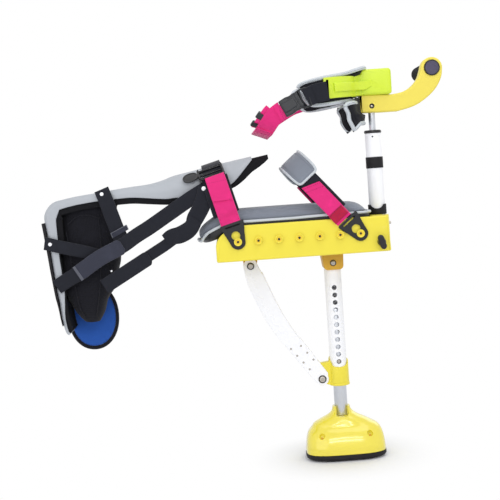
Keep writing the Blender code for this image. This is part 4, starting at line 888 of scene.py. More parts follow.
def all_finishes(colours):
    """Every finish of the walker, made once from the colour settings, with its usual material slot."""
    c = {key: tuple(getattr(colours, key)) for key in WalkerColours.__annotations__}
    streaks = (1400, 1400, 9)
    return {
        "yellow": ("yellow_plastic", moulded("moulded_yellow", c["yellow"], 0.36)),
        "gloss_yellow": ("yellow_plastic", moulded("gloss_yellow", c["yellow"], 0.16, 0.00001, 0.1, 0.9)),
        "arm_yellow": ("yellow_plastic", moulded("arm_yellow", c["arm_yellow"], 0.4)),
        "lime": ("lime_plastic", moulded("moulded_lime", c["lime"], 0.34)),
        # Painted shade: the yellow made darker, for parts under the platform and in the foot's wells
        "amber": ("yellow_plastic", moulded("moulded_amber", c["amber"], 0.38)),
        "black_plastic": ("black_plastic", moulded("black_plastic", c["black_plastic"], 0.36, 0.0001, 0.3)),
        "gloss_black": ("black_plastic", moulded("gloss_black", c["black_plastic"], 0.22, 0.00004, 0.25, 0.4)),
        "rubber": ("black_rubber", rubbery("black_rubber", c["rubber"])),
        "paint": ("white_paint", painted("white_powder_coat", c["paint"])),
        "aluminium": ("brushed_aluminium", drawn_metal("drawn_aluminium", c["aluminium"], streaks, 0.24)),
        "steel": ("zinc_steel", plated("zinc_plate", c["steel"])),
        "grey_fabric": ("grey_fabric", woven("grey_twill", c["grey_fabric"], 0.0021, 0.0003)),
        "black_fabric": ("black_fabric", woven("black_mesh", c["black_fabric"], 0.003, 0.0005, 0.6, 0.08, 0.7)),
        "black_lining": ("black_fabric", woven("black_lining", c["black_fabric"], 0.0018, 0.0003, 0.75, 0.1)),
        "pink": ("pink_webbing", webbed("pink_webbing", c["pink"])),
        # Painted shade: the pink webbing made darker, for the sewn tabs
        "red": ("pink_webbing", webbed("dark_pink_webbing", c["red"])),
        "black_webbing": ("black_webbing", webbed("black_webbing", c["black_webbing"], 0.12)),
        "shell": ("grey_shell", moulded("grey_shell", c["shell"], 0.42, 0.00012, 0.5)),
        "blue": ("blue_fabric", napped("blue_lining", c["blue"])),
        "foam": ("black_foam", foamed("black_foam", c["foam"])),
        "binding": ("grey_fabric", taped("grey_binding", c["binding"])),
        "pink_thread": ("pink_webbing", rubbery("pink_thread", shade_of(c["pink"], 0.34))),
        "grip_disc": ("black_plastic", rubbery("grip_disc", srgb(78, 74, 94))),
        "mark": ("grey_fabric", taped("grey_marks", srgb(84, 86, 98))),
        "doubled": ("black_webbing", webbed("doubled_webbing", srgb(52, 54, 68), 0.2)),
        "rivet": ("white_paint", painted("white_rivets", c["paint"])),
        # Painted shade: near black, for rings and discs laid in recesses round bolts and in the pegs' holes
        "recess_shade": ("zinc_steel", moulded("dark_plate", srgb(34, 30, 27), 0.4)),
        "grey_plastic": ("black_plastic", moulded("grey_plastic", srgb(33, 35, 40), 0.34, 0.0001, 0.3)),
        # Painted shade: a darker yellow for the pegs' dished faces
        "peg_shade": ("yellow_plastic", moulded("peg_shade", srgb(236, 202, 52), 0.5)),
        "blue_thread": ("blue_fabric", rubbery("blue_thread", shade_of(c["blue"], 0.5))),
    }


FINISHES = {}


def finish_of(name):
    """A finish's slot and material. All are made the first time that one is asked for."""
    if not FINISHES:
        FINISHES.update(all_finishes(bpy.context.scene.walker_colours))
    return FINISHES[name]


def repaint(node, finish):
    """Gives a CAD node that stays a finish of its own."""
    obj = NODES[node]
    obj.data.materials.clear()
    obj.data.materials.append(finish_of(finish)[1])


# Turned and bolted pieces

def rod(start, end, radius, columns, edge=0):
    """A round bar between two points, its end edges rounded."""
    circle = radius * round_points(columns)
    start, end = floats(start), floats(end)
    across = (0, 0, 1) if abs(end[2] - start[2]) < 0.9 * np.linalg.norm(end - start) else (1, 0, 0)
    return bar(start, end, across, circle, edge) if edge else Patch(sweep(circle, [start, end], across))


def pin(x, z, start, end, radius, columns):
    """A rod along Y at a place (x, z)."""
    return rod((x, start, z), (x, end, z), radius, columns)


def stem(x, low, high, radius, columns):
    """A rod along Z at a place x of the middle plane."""
    return rod((x, 0, low), (x, 0, high), radius, columns)


def turned(profile, centre, axis="Z", sign=1, columns=None):
    """A closed solid of (radius, height) rows turned about an axis."""
    return Patch(lathe(profile, centre, axis, columns, sign))


def bolted(name, centre, half_length, shank, head, height, nodes):
    """A cross bolt along Y: a domed head with a hexagonal recess on the near side and a nut on the far
    side, both on washers with a rolled edge whose near-black colour is painted shade round them."""
    x, z = centre
    ring = [(shank, 0.05), (head * 1.28, 0.05), (head * 1.34, 0.5), (head * 1.28, 1.1), (head * 1.08, 1.3),
            (shank, 1.2)]
    dome = [(shank, 1), (head, 1.1), (head, height * 0.5), (head * 0.9, height * 0.8), (head * 0.62, height),
            (head * 0.5, height * 0.97), (head * 0.47, height * 0.4)]
    nut = [(head * 0.98, 1.1), (head, 1.6), (head, height - 0.4), (head * 0.88, height), (shank, height),
           (shank, height + 1.2), (shank * 0.7, height + 1.6)]
    steel = [
        pin(x, z, -half_length, half_length, shank, 24),
        turned(dome, (x, -half_length, z), "Y", -1, 36),
        turned(nut, (x, half_length, z), "Y", 1, 6),
    ]
    piece(name, steel, "steel", "frame", nodes)
    rings = [turned(ring, (x, side * half_length, z), "Y", side, 36) for side in (-1, 1)]
    # The washers' near-black colour is painted shade round the head and the nut
    piece(name + "_washers", rings, "recess_shade", "frame", nodes)


# Platform

def tray_side():
    """The side outline: an elliptic upper rear corner, the other corners rounded a little."""
    a = np.radians(np.linspace(0, 90, 20))
    corner = np.stack([-138 + 60 * (1 - np.cos(a)), TRAY_TOP - 40 * (1 - np.sin(a))], 1)
    points = np.vstack([[(-138, TRAY_BOTTOM)], corner, [(196.5, TRAY_TOP), (199.5, TRAY_BOTTOM)]])
    return fillet(points, [4] + [0] * len(corner) + [4, 4], 5)


def tray_solid():
    """The tray less its seat recess, underside cells and holes, with the post's boss."""
    made = slab(tray_side(), TRAY_HALF_WIDTH, setting("rounding"), steps=5)
    tray = piece("tray_body", made, "yellow", "frame", ["platform_tray"], MOULDED)
    joined(tray, turned([(22, -98), (22, -33), (21.4, -31.6), (20, -31)], (POST_X, 0, 0)))
    recess = [(-150, 10), (-150, -58.6), (-134, -58), (-98, DECK_TOP), (167, DECK_TOP), (167, 10)]
    cut = [slab(recess, 72, 0.01, steps=2)]
    columns, rows, rib = 6, 3, 3
    length, width = (158 + 134 - 5 * rib) / columns, (144 - 2 * rib) / rows
    for column in range(columns):
        for row in range(rows):
            x, y = -134 + column * (length + rib), -72 + row * (width + rib)
            top = -50.6 if column else -63
            cut.append(block((x, y, -104), (x + length, y + width, top), 2, 3))
    for low, high in ((-72, -27), (27, 72)):
        cut.append(block((161, low, -104), (191, high, -35), 2, 3))
    shaped(tray, [*cut, stem(POST_X, -93.5, 0, 16.25, 48)])
    shaped(tray, rod((POST_X, 0, -48), (215, 0, -48), 3.2, 20))
    return flattened(tray, np.arange(-121.3, 190, 24.7))


def tray_pegs():
    """Fourteen strap pegs: a shank, and a head with a raised rim round a dished face and a blind hole."""
    profile = [(6.4, -0.4), (4.9, 0.5), (4.4, 1.4), (4.4, 3.9), (7.1, 3.9), (7.8, 4.4), (7.8, 7.3), (7.3, 8.2),
               (6.6, 8.5), (6, 8.2), (5.4, 7.3), (4.6, 7), (2.9, 7.1), (2.4, 6.7), (2.3, 4.2)]
    return peg_row(profile)


def peg_row(profile):
    """One turned shape at every peg of both sides."""
    return [
        turned(profile, (REAR_PEG_X + i * PEG_PITCH, side * TRAY_HALF_WIDTH, PEG_Z), "Y", side, 32)
        for side in (-1, 1) for i in range(PEG_COUNT)
    ]


# A darker yellow ring on each peg's dished face: painted shade in the dish
PEG_DISH_SHADE = [(5.3, 4.3), (5.25, 7.25), (4.6, 7.1), (2.9, 7.2), (2.35, 6.8), (2.3, 4.25)]
# A dark screw head in each peg's hole, its colour painted shade of the hole
PEG_SCREW = [(1.9, 4.35), (2.2, 5.4), (2, 6.3), (0.9, 6.6), (0.8, 6)]


def seat_station(x):
    """Half width, crown, split and bottom heights of the seat at places along it. Behind, the split runs
    down a quarter circle to the bottom, so that the cushion's side wraps the end of the pan."""
    rear, front = np.clip((-111 - x) / 60, 0, 1), np.clip((x - 136) / 30, 0, 1)
    width = SEAT_HALF_WIDTH * (1 - rear**2.6) ** (1 / 2.6) * (1 - 0.35 * front**2.5)
    drop = 12 * ease((-100 - x) / 66)
    nose = 1 - np.sqrt(1 - np.clip((-158 - x) / 14, 0, 1) ** 2)
    crown = -2 * (x / 150) ** 2 - 20 * rear**2.2 - 19 * front**1.5 - drop - 9 * nose
    bottom = -46 - drop * 1.28 + 5 * nose
    wrap = 1 - np.sqrt(1 - np.clip((PAN_ROUND - x) / (PAN_ROUND - PAN_REAR), 0, 1) ** 2)
    split = -23.7 - drop - 12 * rear**1.5 - 1.8 * ease((90 - x) / 90)
    return np.maximum(width, 16), crown, split + (bottom + 1 - split) * wrap, bottom


def seat_places(count, short=0):
    """Places along the seat, closer together near its ends."""
    return -2.5 + (168.5 - short) * np.sin(np.radians(np.linspace(-90, 90, count)))


def pan_rings():
    """Sections of the pan: upright rim, turned in below."""
    x = np.interp(np.sin(np.radians(np.linspace(-90, 90, 60))), [-1, 1], [PAN_REAR + 0.3, 164.5])
    width, _, split, bottom = seat_station(x)
    half = (width - 1.2) * np.sqrt(1 - np.clip((PAN_ROUND - x) / (PAN_ROUND - PAN_REAR), 0, 1) ** 2)
    half, height = np.maximum(half, 10), np.maximum(split - 0.3 - bottom, 0.4)
    inset = np.array([0, 0, 0.5, 1.6, 3, 6, 9])
    share = np.array([1, 0.55, 0.42, 0.3, 0.2, 0.07, 0])
    across, up = half[:, None] - inset, bottom[:, None] + height[:, None] * share
    return sections(x, np.hstack([across, -across[:, ::-1]]), np.hstack([up, up[:, ::-1]]))


def cushion_rings(pull):
    """Sections of the cushion: |cos|^0.55 across, sin^0.62 up, with the sides pulled in at the seam."""
    x = seat_places(56, pull)
    width, crown, split, _ = seat_station(x)
    a = np.radians(np.linspace(0, 180, 41))
    rise = np.sin(a) ** 0.62
    across = (width - pull)[:, None] * np.sign(np.cos(a)) * np.abs(np.cos(a)) ** 0.55
    across = across * (1 + 0.012 * np.sin(np.clip(rise * math.pi, 0, math.pi)))
    up = split[:, None] + (crown - split - pull)[:, None] * rise
    dent = 1.6 * np.exp(-((x[:, None] - 10) / 70) ** 2 - (across / 34) ** 2)
    return sections(x, across, up - dent * rise)


def seat_rim(out, up):
    """A closed path round the seat's split line, moved out and up."""
    x = seat_places(90)
    width, _, split, _ = seat_station(x)
    near = np.stack([x, -width - out, split + up], 1)
    way = np.vstack([near, near[::-1] * (1, -1, 1)])
    way[:, 0] += np.where(np.abs(way[:, 0] + 171) < 4, -out, 0) + np.where(np.abs(way[:, 0] - 166) < 4, out, 0)
    way = evenly(np.vstack([way, way[:1]]), 241)[:-1]
    for _ in range(2):
        way = (np.roll(way, 1, 0) + 2 * way + np.roll(way, -1, 0)) / 4
    return way


def above_pan(p):
    """Keeps points of the knee cushion above the pan and within the seat's width."""
    width, crown, split, _ = seat_station(np.clip(p[:, 0], SEAT_REAR, SEAT_FRONT))
    p[:, 2] = np.clip(p[:, 2], split + 0.2, np.maximum(crown + 0.6, split + 0.4))
    p[:, 1] = np.clip(p[:, 1], -width - 0.8, width + 0.8)
    return p


# Soft pieces blown up by the cloth solver

def puffed(obj, cap, voxel, hold):
    """Remeshes a closed soft piece evenly, lets cloth pressure fill it for 20 frames, moves no point
    further than the cap, and subdivides once. hold() then keeps points out of what is beneath."""
    even = obj.modifiers.new("even", "REMESH")
    even.mode, even.voxel_size = "VOXEL", voxel * MM
    settle(obj, SEAMLESS)
    before = fetched(obj.data.vertices, "co", 3)
    cloth = obj.modifiers.new("puff", "CLOTH")
    cloth.settings.quality, cloth.settings.mass = 6, 0.3
    cloth.settings.use_pressure, cloth.settings.uniform_pressure_force = True, 4
    cloth.settings.effector_weights.gravity = 0
    cloth.point_cache.frame_start, cloth.point_cache.frame_end = 1, 20
    scene = bpy.context.scene
    for number in range(1, 21):
        scene.frame_set(number)
    shown = obj.evaluated_get(bpy.context.evaluated_depsgraph_get())
    move = fetched(shown.data.vertices, "co", 3) - before
    obj.modifiers.clear()
    scene.frame_set(1)
    far = np.maximum(np.linalg.norm(move, axis=1, keepdims=True), 1e-9)
    after = before + move * np.minimum(1, cap * MM / far)
    obj.data.vertices.foreach_set("co", (hold(after / MM) * MM).ravel())
    obj.data.update()
    finer = obj.modifiers.new("finer", "SUBSURF")
    finer.levels = finer.render_levels = 1
    return settle(obj, SEAMLESS)


# Leg

def leg_socket():
    """The socket under the platform: a block that narrows downwards, with a cove where it meets the
    platform, bored for the tube."""
    left, right, low = 68.6, 111.4, (71.5, 110.6)
    cove = [(3.6, -99.3), (1.4, -100), (0.3, -102), (0, -105)]
    outline = [*((left - out, z) for out, z in cove), *arc((low[0] + 8, -125), 8, 186, 270, 9),
               *arc((low[1] - 8, -125), 8, 270, 358, 9), *((right + out, z) for out, z in cove[::-1])]
    # The socket's colour is painted shade: the yellow made darker
    socket = piece("socket_block", slab(outline, 24, 2.4, steps=5), "amber", "frame", ["leg_socket"], MOULDED)
    return shaped(socket, stem(POLE_X, -138, -102.5, 17.1, 64))


def leg_tube():
    """The outer tube with eleven lock holes on its near side."""
    wall = tube_patch(16.8, 14.6, -365, -103, POLE_X, columns=96)
    tube = piece("leg_outer", wall, "paint", "frame", ["leg_tube"])
    return shaped(tube, [pin(POLE_X, z, -22, -8, 4.9, 36) for z in LOCK_HOLES])


def collar_top(x, y):
    """The collar's slanted upper rim, with a rounded lip on either side."""
    slope = np.minimum(-313, -321.5 + 0.4167 * y)
    left, right = ease((-x - 12.5) / 3.5), ease((x - 13.5) / 3.5)
    return slope + 7 * left + 3.6 * right


def collar():
    """The yellow collar: a turned wall with the slanted rim, a foot bead and the strut's lug."""
    wall = tube_patch(19.6, 17.1, -367, -313, POLE_X, 0.9, collar_top, 96)
    made = piece("collar_body", wall, "yellow", "frame", ["leg_collar"], MOULDED)
    lug = [(74, -318), (51, -321), (46, -331), (46, -352), *arc(STRUT_LOW, 12, 190, 300, 9), (74, -367)]
    joined(made, slab(fillet(lug, [0, 4, 4] + [0] * 11, 5), 9, 1.6), MOULDED)
    shaped(made, stem(POLE_X, -370, -300, 17.1, 96), MOULDED)
    piece("collar_bead", hoop(rounded(0.9, 2.2, 0.8) + (19.5, -364.6), POLE_X), "yellow", "frame")


def strut_edges():
    """Left and right edges of the bowed channel, joined by round ends."""
    left = [(-87, -122), (-81, -152), (-68, -185), (-51, -224), (-30, -260), (-8, -289), (41, -357)]
    right = [(67, -340), (41, -303), (23, -278), (8, -257), (-10, -226), (-25, -194), (-38, -162), (-59, -114)]
    low, top = arc(STRUT_LOW, 13, 215, 395, 16)[1:-1], arc(STRUT_TOP, 14.5, 15, 200, 16)[1:-1]
    top[:, 1] = np.minimum(top[:, 1], -103.2)
    return np.vstack([through(left, 6), low, through(right, 6), top])


def strut():
    """The channel: an outer form less a hollow moved down and back, open forks and staggered holes."""
    made = piece("strut_channel", slab(strut_edges(), 12, 1.3), "paint", "frame", ["strut"], MOULDED)
    shaped(made, slab(strut_edges() - (3.4, 2.2), 9.6, 0.6, steps=3), MOULDED)
    forks = [block((x - 24, -9.6, z - 22), (x + 24, 9.6, z + lift))
             for (x, z), lift in ((STRUT_TOP, 22), (STRUT_LOW, 40))]
    shaped(made, forks, MOULDED)
    shaped(made, [pin(x, z, -16, 16, 2.3, 20) for x, z in strut_holes()], MOULDED)
    plugs = [pin(x, z, side * 10.2, side * 11, 2.4, 20) for side in (-1, 1) for x, z in strut_holes()]
    piece("strut_plugs", plugs, "steel", "frame")
    piece("strut_ribs", strut_ribs(), "paint", "frame")
    piece("strut_pressings", strut_scallops(), "paint", "frame", smooth=SOFT)


def strut_holes():
    """The staggered row of small holes near the lower end: four and three."""
    return [(-4 + 11.6 * i + 20.4 * row, -286.4 - 14.6 * i + 4.6 * row)
            for row in (0, 1) for i in range(4 - row)]


def strut_scallops():
    """Pressed half rings along both faces, and a bead that follows the outer edge."""
    left = through([(-79, -136), (-70, -170), (-55, -205), (-36, -240), (-18, -266)], 8)
    edge = through([(-45, -131), (-34, -160), (-21, -192), (-6, -224), (12, -255), (27, -276), (45, -301)], 8)
    made = []
    lines = [(arc(point + (14, 4), 9, 112, 292, 18), 2.6) for point in evenly(left, 8)]
    lines.append((edge - (7, 0), 2.4))
    for y in (-9.8, 9.8):
        made += [pipe(upright(line, y), radius, (0, 1, 0), columns=20) for line, radius in lines]
    return made


def strut_ribs():
    """Faint cross ribs inside the channel, between its two sides."""
    left = through([(-81, -152), (-68, -185), (-51, -224), (-30, -260)], 8)
    section = rounded(3.5, 0.9, 0.6)
    return [bar((x, -9.7, z), (x, 9.7, z), (0.87, 0, -0.5), section, 0.2) for x, z in evenly(left, 7) + (5, 2)]


# Foot

# Height, half x, half y, power and middle x of the bell's rings
FOOT_STATIONS = [
    (-500, 80, 50, 3.2, 94), (-492, 79.8, 49.8, 3.2, 94), (-484, 79, 49, 3.2, 94),
    (-470, 77, 44, 3.1, 94), (-458, 73, 38, 2.9, 94), (-449, 66, 32, 2.7, 94),
    (-442, 57.5, 29, 2.5, 90.5), (-435, 45, 26, 2.4, 90.5), (-428, 31, 22.5, 2.2, 90.5),
    (-421.5, 22, 19.5, 2, 90.5), (-415, 18.4, 18.2, 2, 90), (-409.5, 17.4, 17.4, 2, 90),
]
WELL_LEAN = math.radians(32)


def ovals(stations, count):
    """Superellipse rings of (z, half x, half y, power, middle x) rows."""
    return np.array([level(oval(a, b, n, count) + (c, 0), z) for z, a, b, n, c in stations])


def dimple(x, y, z, radius, depth):
    """A bowl-shaped cutter that leans out with the foot's side: rings of radius r (cos t)^0.7 at depth
    d sin t."""
    t = np.radians(np.linspace(-86, 60, 12))
    p = lathe(np.stack([radius * np.cos(t) ** 0.7, depth * np.sin(t)], 1), (0, 0, 0), columns=32)
    c, s = math.cos(WELL_LEAN), math.copysign(math.sin(WELL_LEAN), y)
    across, up = p[..., 1] * c + p[..., 2] * s, -p[..., 1] * s + p[..., 2] * c
    return Patch(np.stack([p[..., 0], across, up], -1) + (x, y, z))


def foot_screws():
    """Four screw heads at the bottoms of the wells, in the yellow made darker as painted shade of the wells."""
    made = []
    for place in SCREW_WELLS:
        out = np.array((0, math.copysign(math.sin(WELL_LEAN), place[1]), math.cos(WELL_LEAN)))
        start = np.array(place) - out * 6.2
        made += [rod(start - out * 6, start, 1.8, 16), rod(start, start + out * 1.2, 2.3, 24, 0.5)]
    return made


def foot_shell():
    """The bell: smooth stations from rim to neck, with screw wells, the tube's bore and the neck's notch."""
    stations = through(FOOT_STATIONS, 4)
    rim = [stations[0] + (0, -1.2, -1.2, 0, 0), stations[0] + (0.9, 0, 0, 0, 0)]
    bell = Patch(ovals(np.vstack([rim, stations[1:]]), 96))
    made = piece("foot_bell", bell, "gloss_yellow", "leg_extension", ["foot_shell"], ROUNDED)
    shaped(made, stem(POLE_X, -428.5, -395, 13.4, 64), ROUNDED)
    notch = fillet([(77.5, -397), (77.5, -429), (102.5, -429), (102.5, -397)], [0, 6, 6, 0])
    shaped(made, slab(notch, 12, 0.2, -20.5, 2), ROUNDED)
    shaped(made, [dimple(*place, 6, 6.5) for place in SCREW_WELLS], ROUNDED)


def foot_sole():
    """The rocker sole: a proud lip, then curved in to the tread."""
    rows = [(-500.3, 79.6, 49.6, 3.2), (-500.6, 80.4, 50.4, 3.2), (-505, 80.8, 50.8, 3.2), (-508, 80, 50, 3.2),
            (-510.5, 76.4, 47.2, 3.1), (-512.3, 71, 43, 3), (SOLE_BOTTOM, 66, 40, 3)]
    return Patch(ovals(through([(*row, FOOT_X) for row in rows], 3), 96))


# Post and handle

def boot_top(x, y):
    """The rubber boot's rim, scooped on both sides by a circle."""
    dx = x + 2
    scoop = np.where(np.abs(dx) < 13.9, -4 - np.sqrt(np.maximum(196 - dx**2, 0)), -10)
    deep = ease((np.abs(y) - 5) / 3)
    return np.minimum(-10, -10 + (np.minimum(scoop, -10) + 10) * deep)


def arm_side():
    """The arm's side outline: a straight clamp end, curving up and forward into a round eye."""
    lower = through([(239, 171), (272, 179), (298, 194), (317, 212), (328, 232), (331, 250)], 8)
    eye = arc(GRIP_CENTRE, 21, 0, 165, 32)[1:]
    upper = through([(288, 250), (283, 236), (275, 224), (263, 214), (248, 207.5), (229, 204.5)], 8)[1:]
    clamp = fillet([(164.4, 172), (203, 171), (164.4, 208.8)], [3, 0, 3], 6)
    return np.vstack([clamp[:6], [(203, 171)], lower, eye, upper, clamp[7:]])


def handle_arm():
    """The moulded arm: rounded slab, bored for the grip, the tube and the bolt's two wells."""
    side = slab(arm_side(), 13, 3.2, steps=6)
    made = piece("arm_body", side, "arm_yellow", "handle", ["handle_arm"], MOULDED)
    shaped(made, pin(*GRIP_CENTRE, -20, 20, 15.8, 72), MOULDED)
    shaped(made, stem(POST_X, 160, 215, 6.9, 36), MOULDED)
    shaped(made, [pin(POST_X, ARM_BOLT_Z, side * 9, side * 20, 5.2, 36) for side in (-1, 1)], MOULDED)


def grip_body():
    """Foam sleeve: a turned bar with shallow rings."""
    y = np.linspace(-11, 128, 140)
    radius = 15.4 - 0.35 * np.clip(np.sin(y * 0.9), 0, 1) ** 6
    radius[[0, -1]] = 14.6
    return grip_turned(np.stack([radius, y], 1))


def grip_turned(profile):
    """Rows of (radius, place along Y) turned about the grip's axis."""
    x, z = GRIP_CENTRE
    return turned(profile, (x, 0, z), "Y", 1, 64)


# Thigh cuff

def cuff_curve(inset, angles):
    """Places in plan on the cuff's ellipse, moved inwards, by angle from straight ahead."""
    a = np.radians(angles)
    return np.stack([60 + (100 - inset) * np.cos(a), (92 - inset) * np.sin(a)], -1)


def cuff_out(angles):
    """Unit normals of the cuff's ellipse in plan."""
    a = np.radians(angles)
    return unit(np.stack([np.cos(a) * 92, np.sin(a) * 100], -1))


def wing_band(inset, thickness, low, high, reach, rounding):
    """A band carried round the ellipse, as far to both sides: its height from low to high rises by
    4.6 mm in step with x from x = 90 mm to the front, and its ends are drawn in over 1.4 degrees."""
    angles = np.linspace(-reach, reach, 90)
    flat = cuff_curve(inset + thickness / 2, angles)
    path = np.column_stack([flat, (low + high) / 2 + 4.6 * np.clip((flat[:, 0] - 90) / 70, 0, 1)])
    swell = 1 - 0.5 * (1 - np.clip((reach - np.abs(angles)) / 1.4, 0, 1)) ** 2
    section = rounded((high - low) / 2, thickness / 2, rounding, 4)
    return Patch(sweep(section, path, (0, 0, 1), 0.94 + 0.06 * swell, swell))


def box_sections(x, half, low, high, corner):
    """Upright rounded rectangles at places along X, each of a half width, between two heights."""
    section = rounded(1, 1, corner, 4)
    up = (low + high)[:, None] / 2 + section[None, :, 1] * (high - low)[:, None] / 2
    return sections(x, section[None, :, 0] * half[:, None], up)


def bracket_root():
    """The flare between the wings and the block: upright sections that widen into the wings."""
    x = np.linspace(149.4, 170, 12)
    low, high = np.interp(x, [150, 168], [203.4, 205.8]), np.interp(x, [149.4, 160, 169], [242.4, 245, 247])
    return box_sections(x, 20.6 + 13.4 * ease((168 - x) / 17), low, high, 0.14)


def bracket_rib():
    """The rib's run on to the block: upright sections that sink into the block's sides and rise at
    their lower edge towards the front."""
    x = np.linspace(150, 190, 16)
    half = np.interp(x, [150, 160, 175, 190], [48.6, 38.6, 28, 20.4])
    low, high = 214.6 + 7 * ease((x - 170) / 20), np.interp(x, [150, 190], [231.4, 234])
    return box_sections(x, half, low, high, 0.16)


def thigh_bracket():
    """The lime bracket: two wings, a rib that widens towards the middle, and the block that the tube
    enters."""
    wings = wing_band(0, 5, 199, 239, 73, 1.6)
    made = piece("cuff_bracket", wings, "lime", "handle", ["thigh_bracket"], MOULDED)
    for patch in (wing_band(-4.6, 6.6, 209.5, 227.5, 61.5, 2.6), bracket_root(),
                  block((166.5, -21, 205.3), (228, 21, 256), 6, 7), bracket_rib()):
        joined(made, patch, MOULDED)
    shaped(made, stem(POST_X, 200, 240.5, 6.9, 36), MOULDED)
    shaped(made, [block((92.5, y - 14, 203), (97.5, y + 14, 235)) for y in (-90, 90)], MOULDED)


def thigh_band(inset, thickness, low, high):
    """A padded band round the thigh: pillow sections that thin towards the ends, 97 degrees to both
    sides."""
    share = np.linspace(-1, 1, 90)
    swell = np.sqrt(np.clip(0.1 + (1 - np.abs(share)) * 97 / 8, 0, 1))[:, None]
    section = oval(thickness / 2, (high - low) / 2, 3, 40)
    tall = section[None, :, 1] * (0.9 + 0.1 * swell)
    angles = cuff_angles(share[:, None] * 97, tall, high - low)
    flat, out = cuff_curve(inset + thickness / 2, angles), cuff_out(angles)
    plan = flat + out * (section[None, :, 0] * swell)[..., None]
    return Patch(cuff_places(plan, (low + high) / 2 + tall, flat[..., 0]))


def band_edge(inset, low, high):
    """A closed path round a thigh band's outline, for its binding."""
    ring = oval(98, (high - low) / 2, 7, 300)
    flat = cuff_curve(inset, cuff_angles(ring[:, 0], ring[:, 1], high - low))
    return cuff_places(flat, (low + high) / 2 + ring[:, 1], flat[:, 0])


def cuff_angles(angles, tall, height):
    """Angles that reach further at the band's top, in step with how far up its height a point is."""
    return angles * (1 + 0.09 * tall / height * 2)


def cuff_places(plan, height, x):
    """Places from plan and height, lowered behind by 0.15 of the way in x, with the pad's front lip."""
    return front_lip(np.concatenate([plan, (height + 0.15 * (x - 160))[..., None]], -1))


def front_lip(p):
    """Leans the pad's top edge forward over the block: 27 mm k^2 forward and 10 mm k^2 up, where k rises
    towards the front and over the top 12 mm."""
    k = ease((p[..., 0] - 118) / 30) * ease((p[..., 2] - 230) / 15)
    return p + np.stack([27 * k**2, np.zeros_like(k), 10 * k**2], -1)


def skirt_angle(height):
    """Half the angle that the lower flap covers at a height: 36 degrees at its hem, 49 at its top."""
    return 36 + 13 * np.clip((height - 135) / 52, 0, 1) ** 0.9


def skirt():
    """The lower flap: a soft tongue that narrows downwards, with slow upright folds."""
    section = oval(4, 29, 3, 34)
    share = np.linspace(-1, 1, 70)[:, None]
    height = 162 + section[None, :, 1] * np.ones_like(share)
    swell = np.sqrt(np.clip(0.1 + (1 - np.abs(share)) * 5, 0, 1))
    angles = share * skirt_angle(height)
    out = cuff_out(angles) * (section[None, :, 0] * swell + skirt_fold(angles, height))[..., None]
    return Patch(skirt_hang(np.concatenate([cuff_curve(-3, angles) + out, height[..., None]], -1), 11))


def skirt_fold(angles, height):
    """How far the flap's folds stand out: 1.6 mm times the sine of angle and height."""
    return 1.6 * np.sin(angles / 4.3 + height / 19)


def skirt_edge():
    """A closed, slightly wavy path round the lower flap's outline."""
    ring = oval(1, 29, 7, 240)
    height = 162 + ring[:, 1]
    angles = ring[:, 0] * skirt_angle(height) + 0.9 * np.sin(height / 4) * np.sign(ring[:, 0])
    flat = cuff_curve(-3, angles) + cuff_out(angles) * (skirt_fold(angles, height) + 1.2)[:, None]
    return skirt_hang(np.column_stack([flat, height]))


def skirt_hang(p, top=0):
    """Hangs the lower flap: below the arm its middle swells forward by 6 mm, and its hem rises by
    19 mm there; behind the arm's end it stays 3 mm back, and its top rises there."""
    front, under = ease((p[..., 0] - 138) / 24), ease((174 - p[..., 2]) / 14)
    back = -3 * front * (1 - under)
    lift = 19 * ease((p[..., 0] - 141) / 16) * ease((176 - p[..., 2]) / 38)
    lift = lift + top * ease((p[..., 0] - 146) / 10) * ease((p[..., 2] - 172) / 16)
    return p + np.stack([6 * front * under + back, np.zeros_like(front), lift], -1)


def clear_of_bracket(p):
    """Keeps the thigh pad's points below its front lip inside the cuff's ellipse less the bracket's
    wall."""
    flat = (p[:, :2] - (60, 0)) / (93.6, 85.6)
    reach = np.maximum(np.linalg.norm(flat, axis=1), 1e-6)
    pull = np.where(p[:, 2] < 240, np.minimum(1, 1 / reach), 1)
    p[:, :2] = (60, 0) + (p[:, :2] - (60, 0)) * pull[:, None]
    return p


def thigh_lay():
    """The drawing board of the thigh strap, from the near wing round behind the leg to the far one:
    its face points away from the leg, and its width turns from upright to nearly level."""
    near = through(THIGH_LOOP, 12)
    way = evenly(np.vstack([near, near[::-1][1:] * (1, -1, 1)]), 400)
    run, tangent = lengths(way), unit(np.gradient(way, axis=0))
    high, low = (ease((start - way[:, 0]) / reach)[:, None] for start, reach in ((75, 70), (4, 38)))
    wide = np.array((0.2, 0, 1)) * (1 - high) + np.array((-0.44, 0, 0.9)) * high
    wide = square_to(wide * (1 - low) + np.array((-0.93, 0, 0.38)) * low, tangent)
    way = way + wide * (4.6 * ease((62 - way[:, 0]) / 30) - 5 * ease((-5 - way[:, 0]) / 28))[:, None]
    face = np.cross(wide, tangent)
    outer = (way - (60, 0, 0)) * (1, 1, 0)
    return Lay(run, way, face * np.sign((face * outer).sum(1, keepdims=True)), wide)


def board_run(board, x):
    """The length along the thigh strap's near half where it passes x."""
    half = len(board.run) // 2
    return np.interp(x, board.path[:half, 0][::-1], board.run[:half][::-1])


# Buckles

# Place along, half breadth, lift and share of the thickness of each bar
LOCK_BARS = ((-7.4, 3.4, 0.4, 0.9), (8.6, 1.7, 0.6, 0.8))
BUCKLE_BARS = ((-10.4, 2.6, 1.4, 1), (-0.2, 2.2, 1.6, 0.6), (10.6, 2, 0.8, 0.9))


def moved(patch, origin, first, depth, second):
    """A patch drawn in (first, depth, second) coordinates, put at an origin with those three axes."""
    p = patch.points
    first, depth, second = (floats(v) for v in (first, depth, second))
    patch.points = floats(origin) + p[..., 0:1] * first + p[..., 1:2] * depth + p[..., 2:3] * second
    return patch


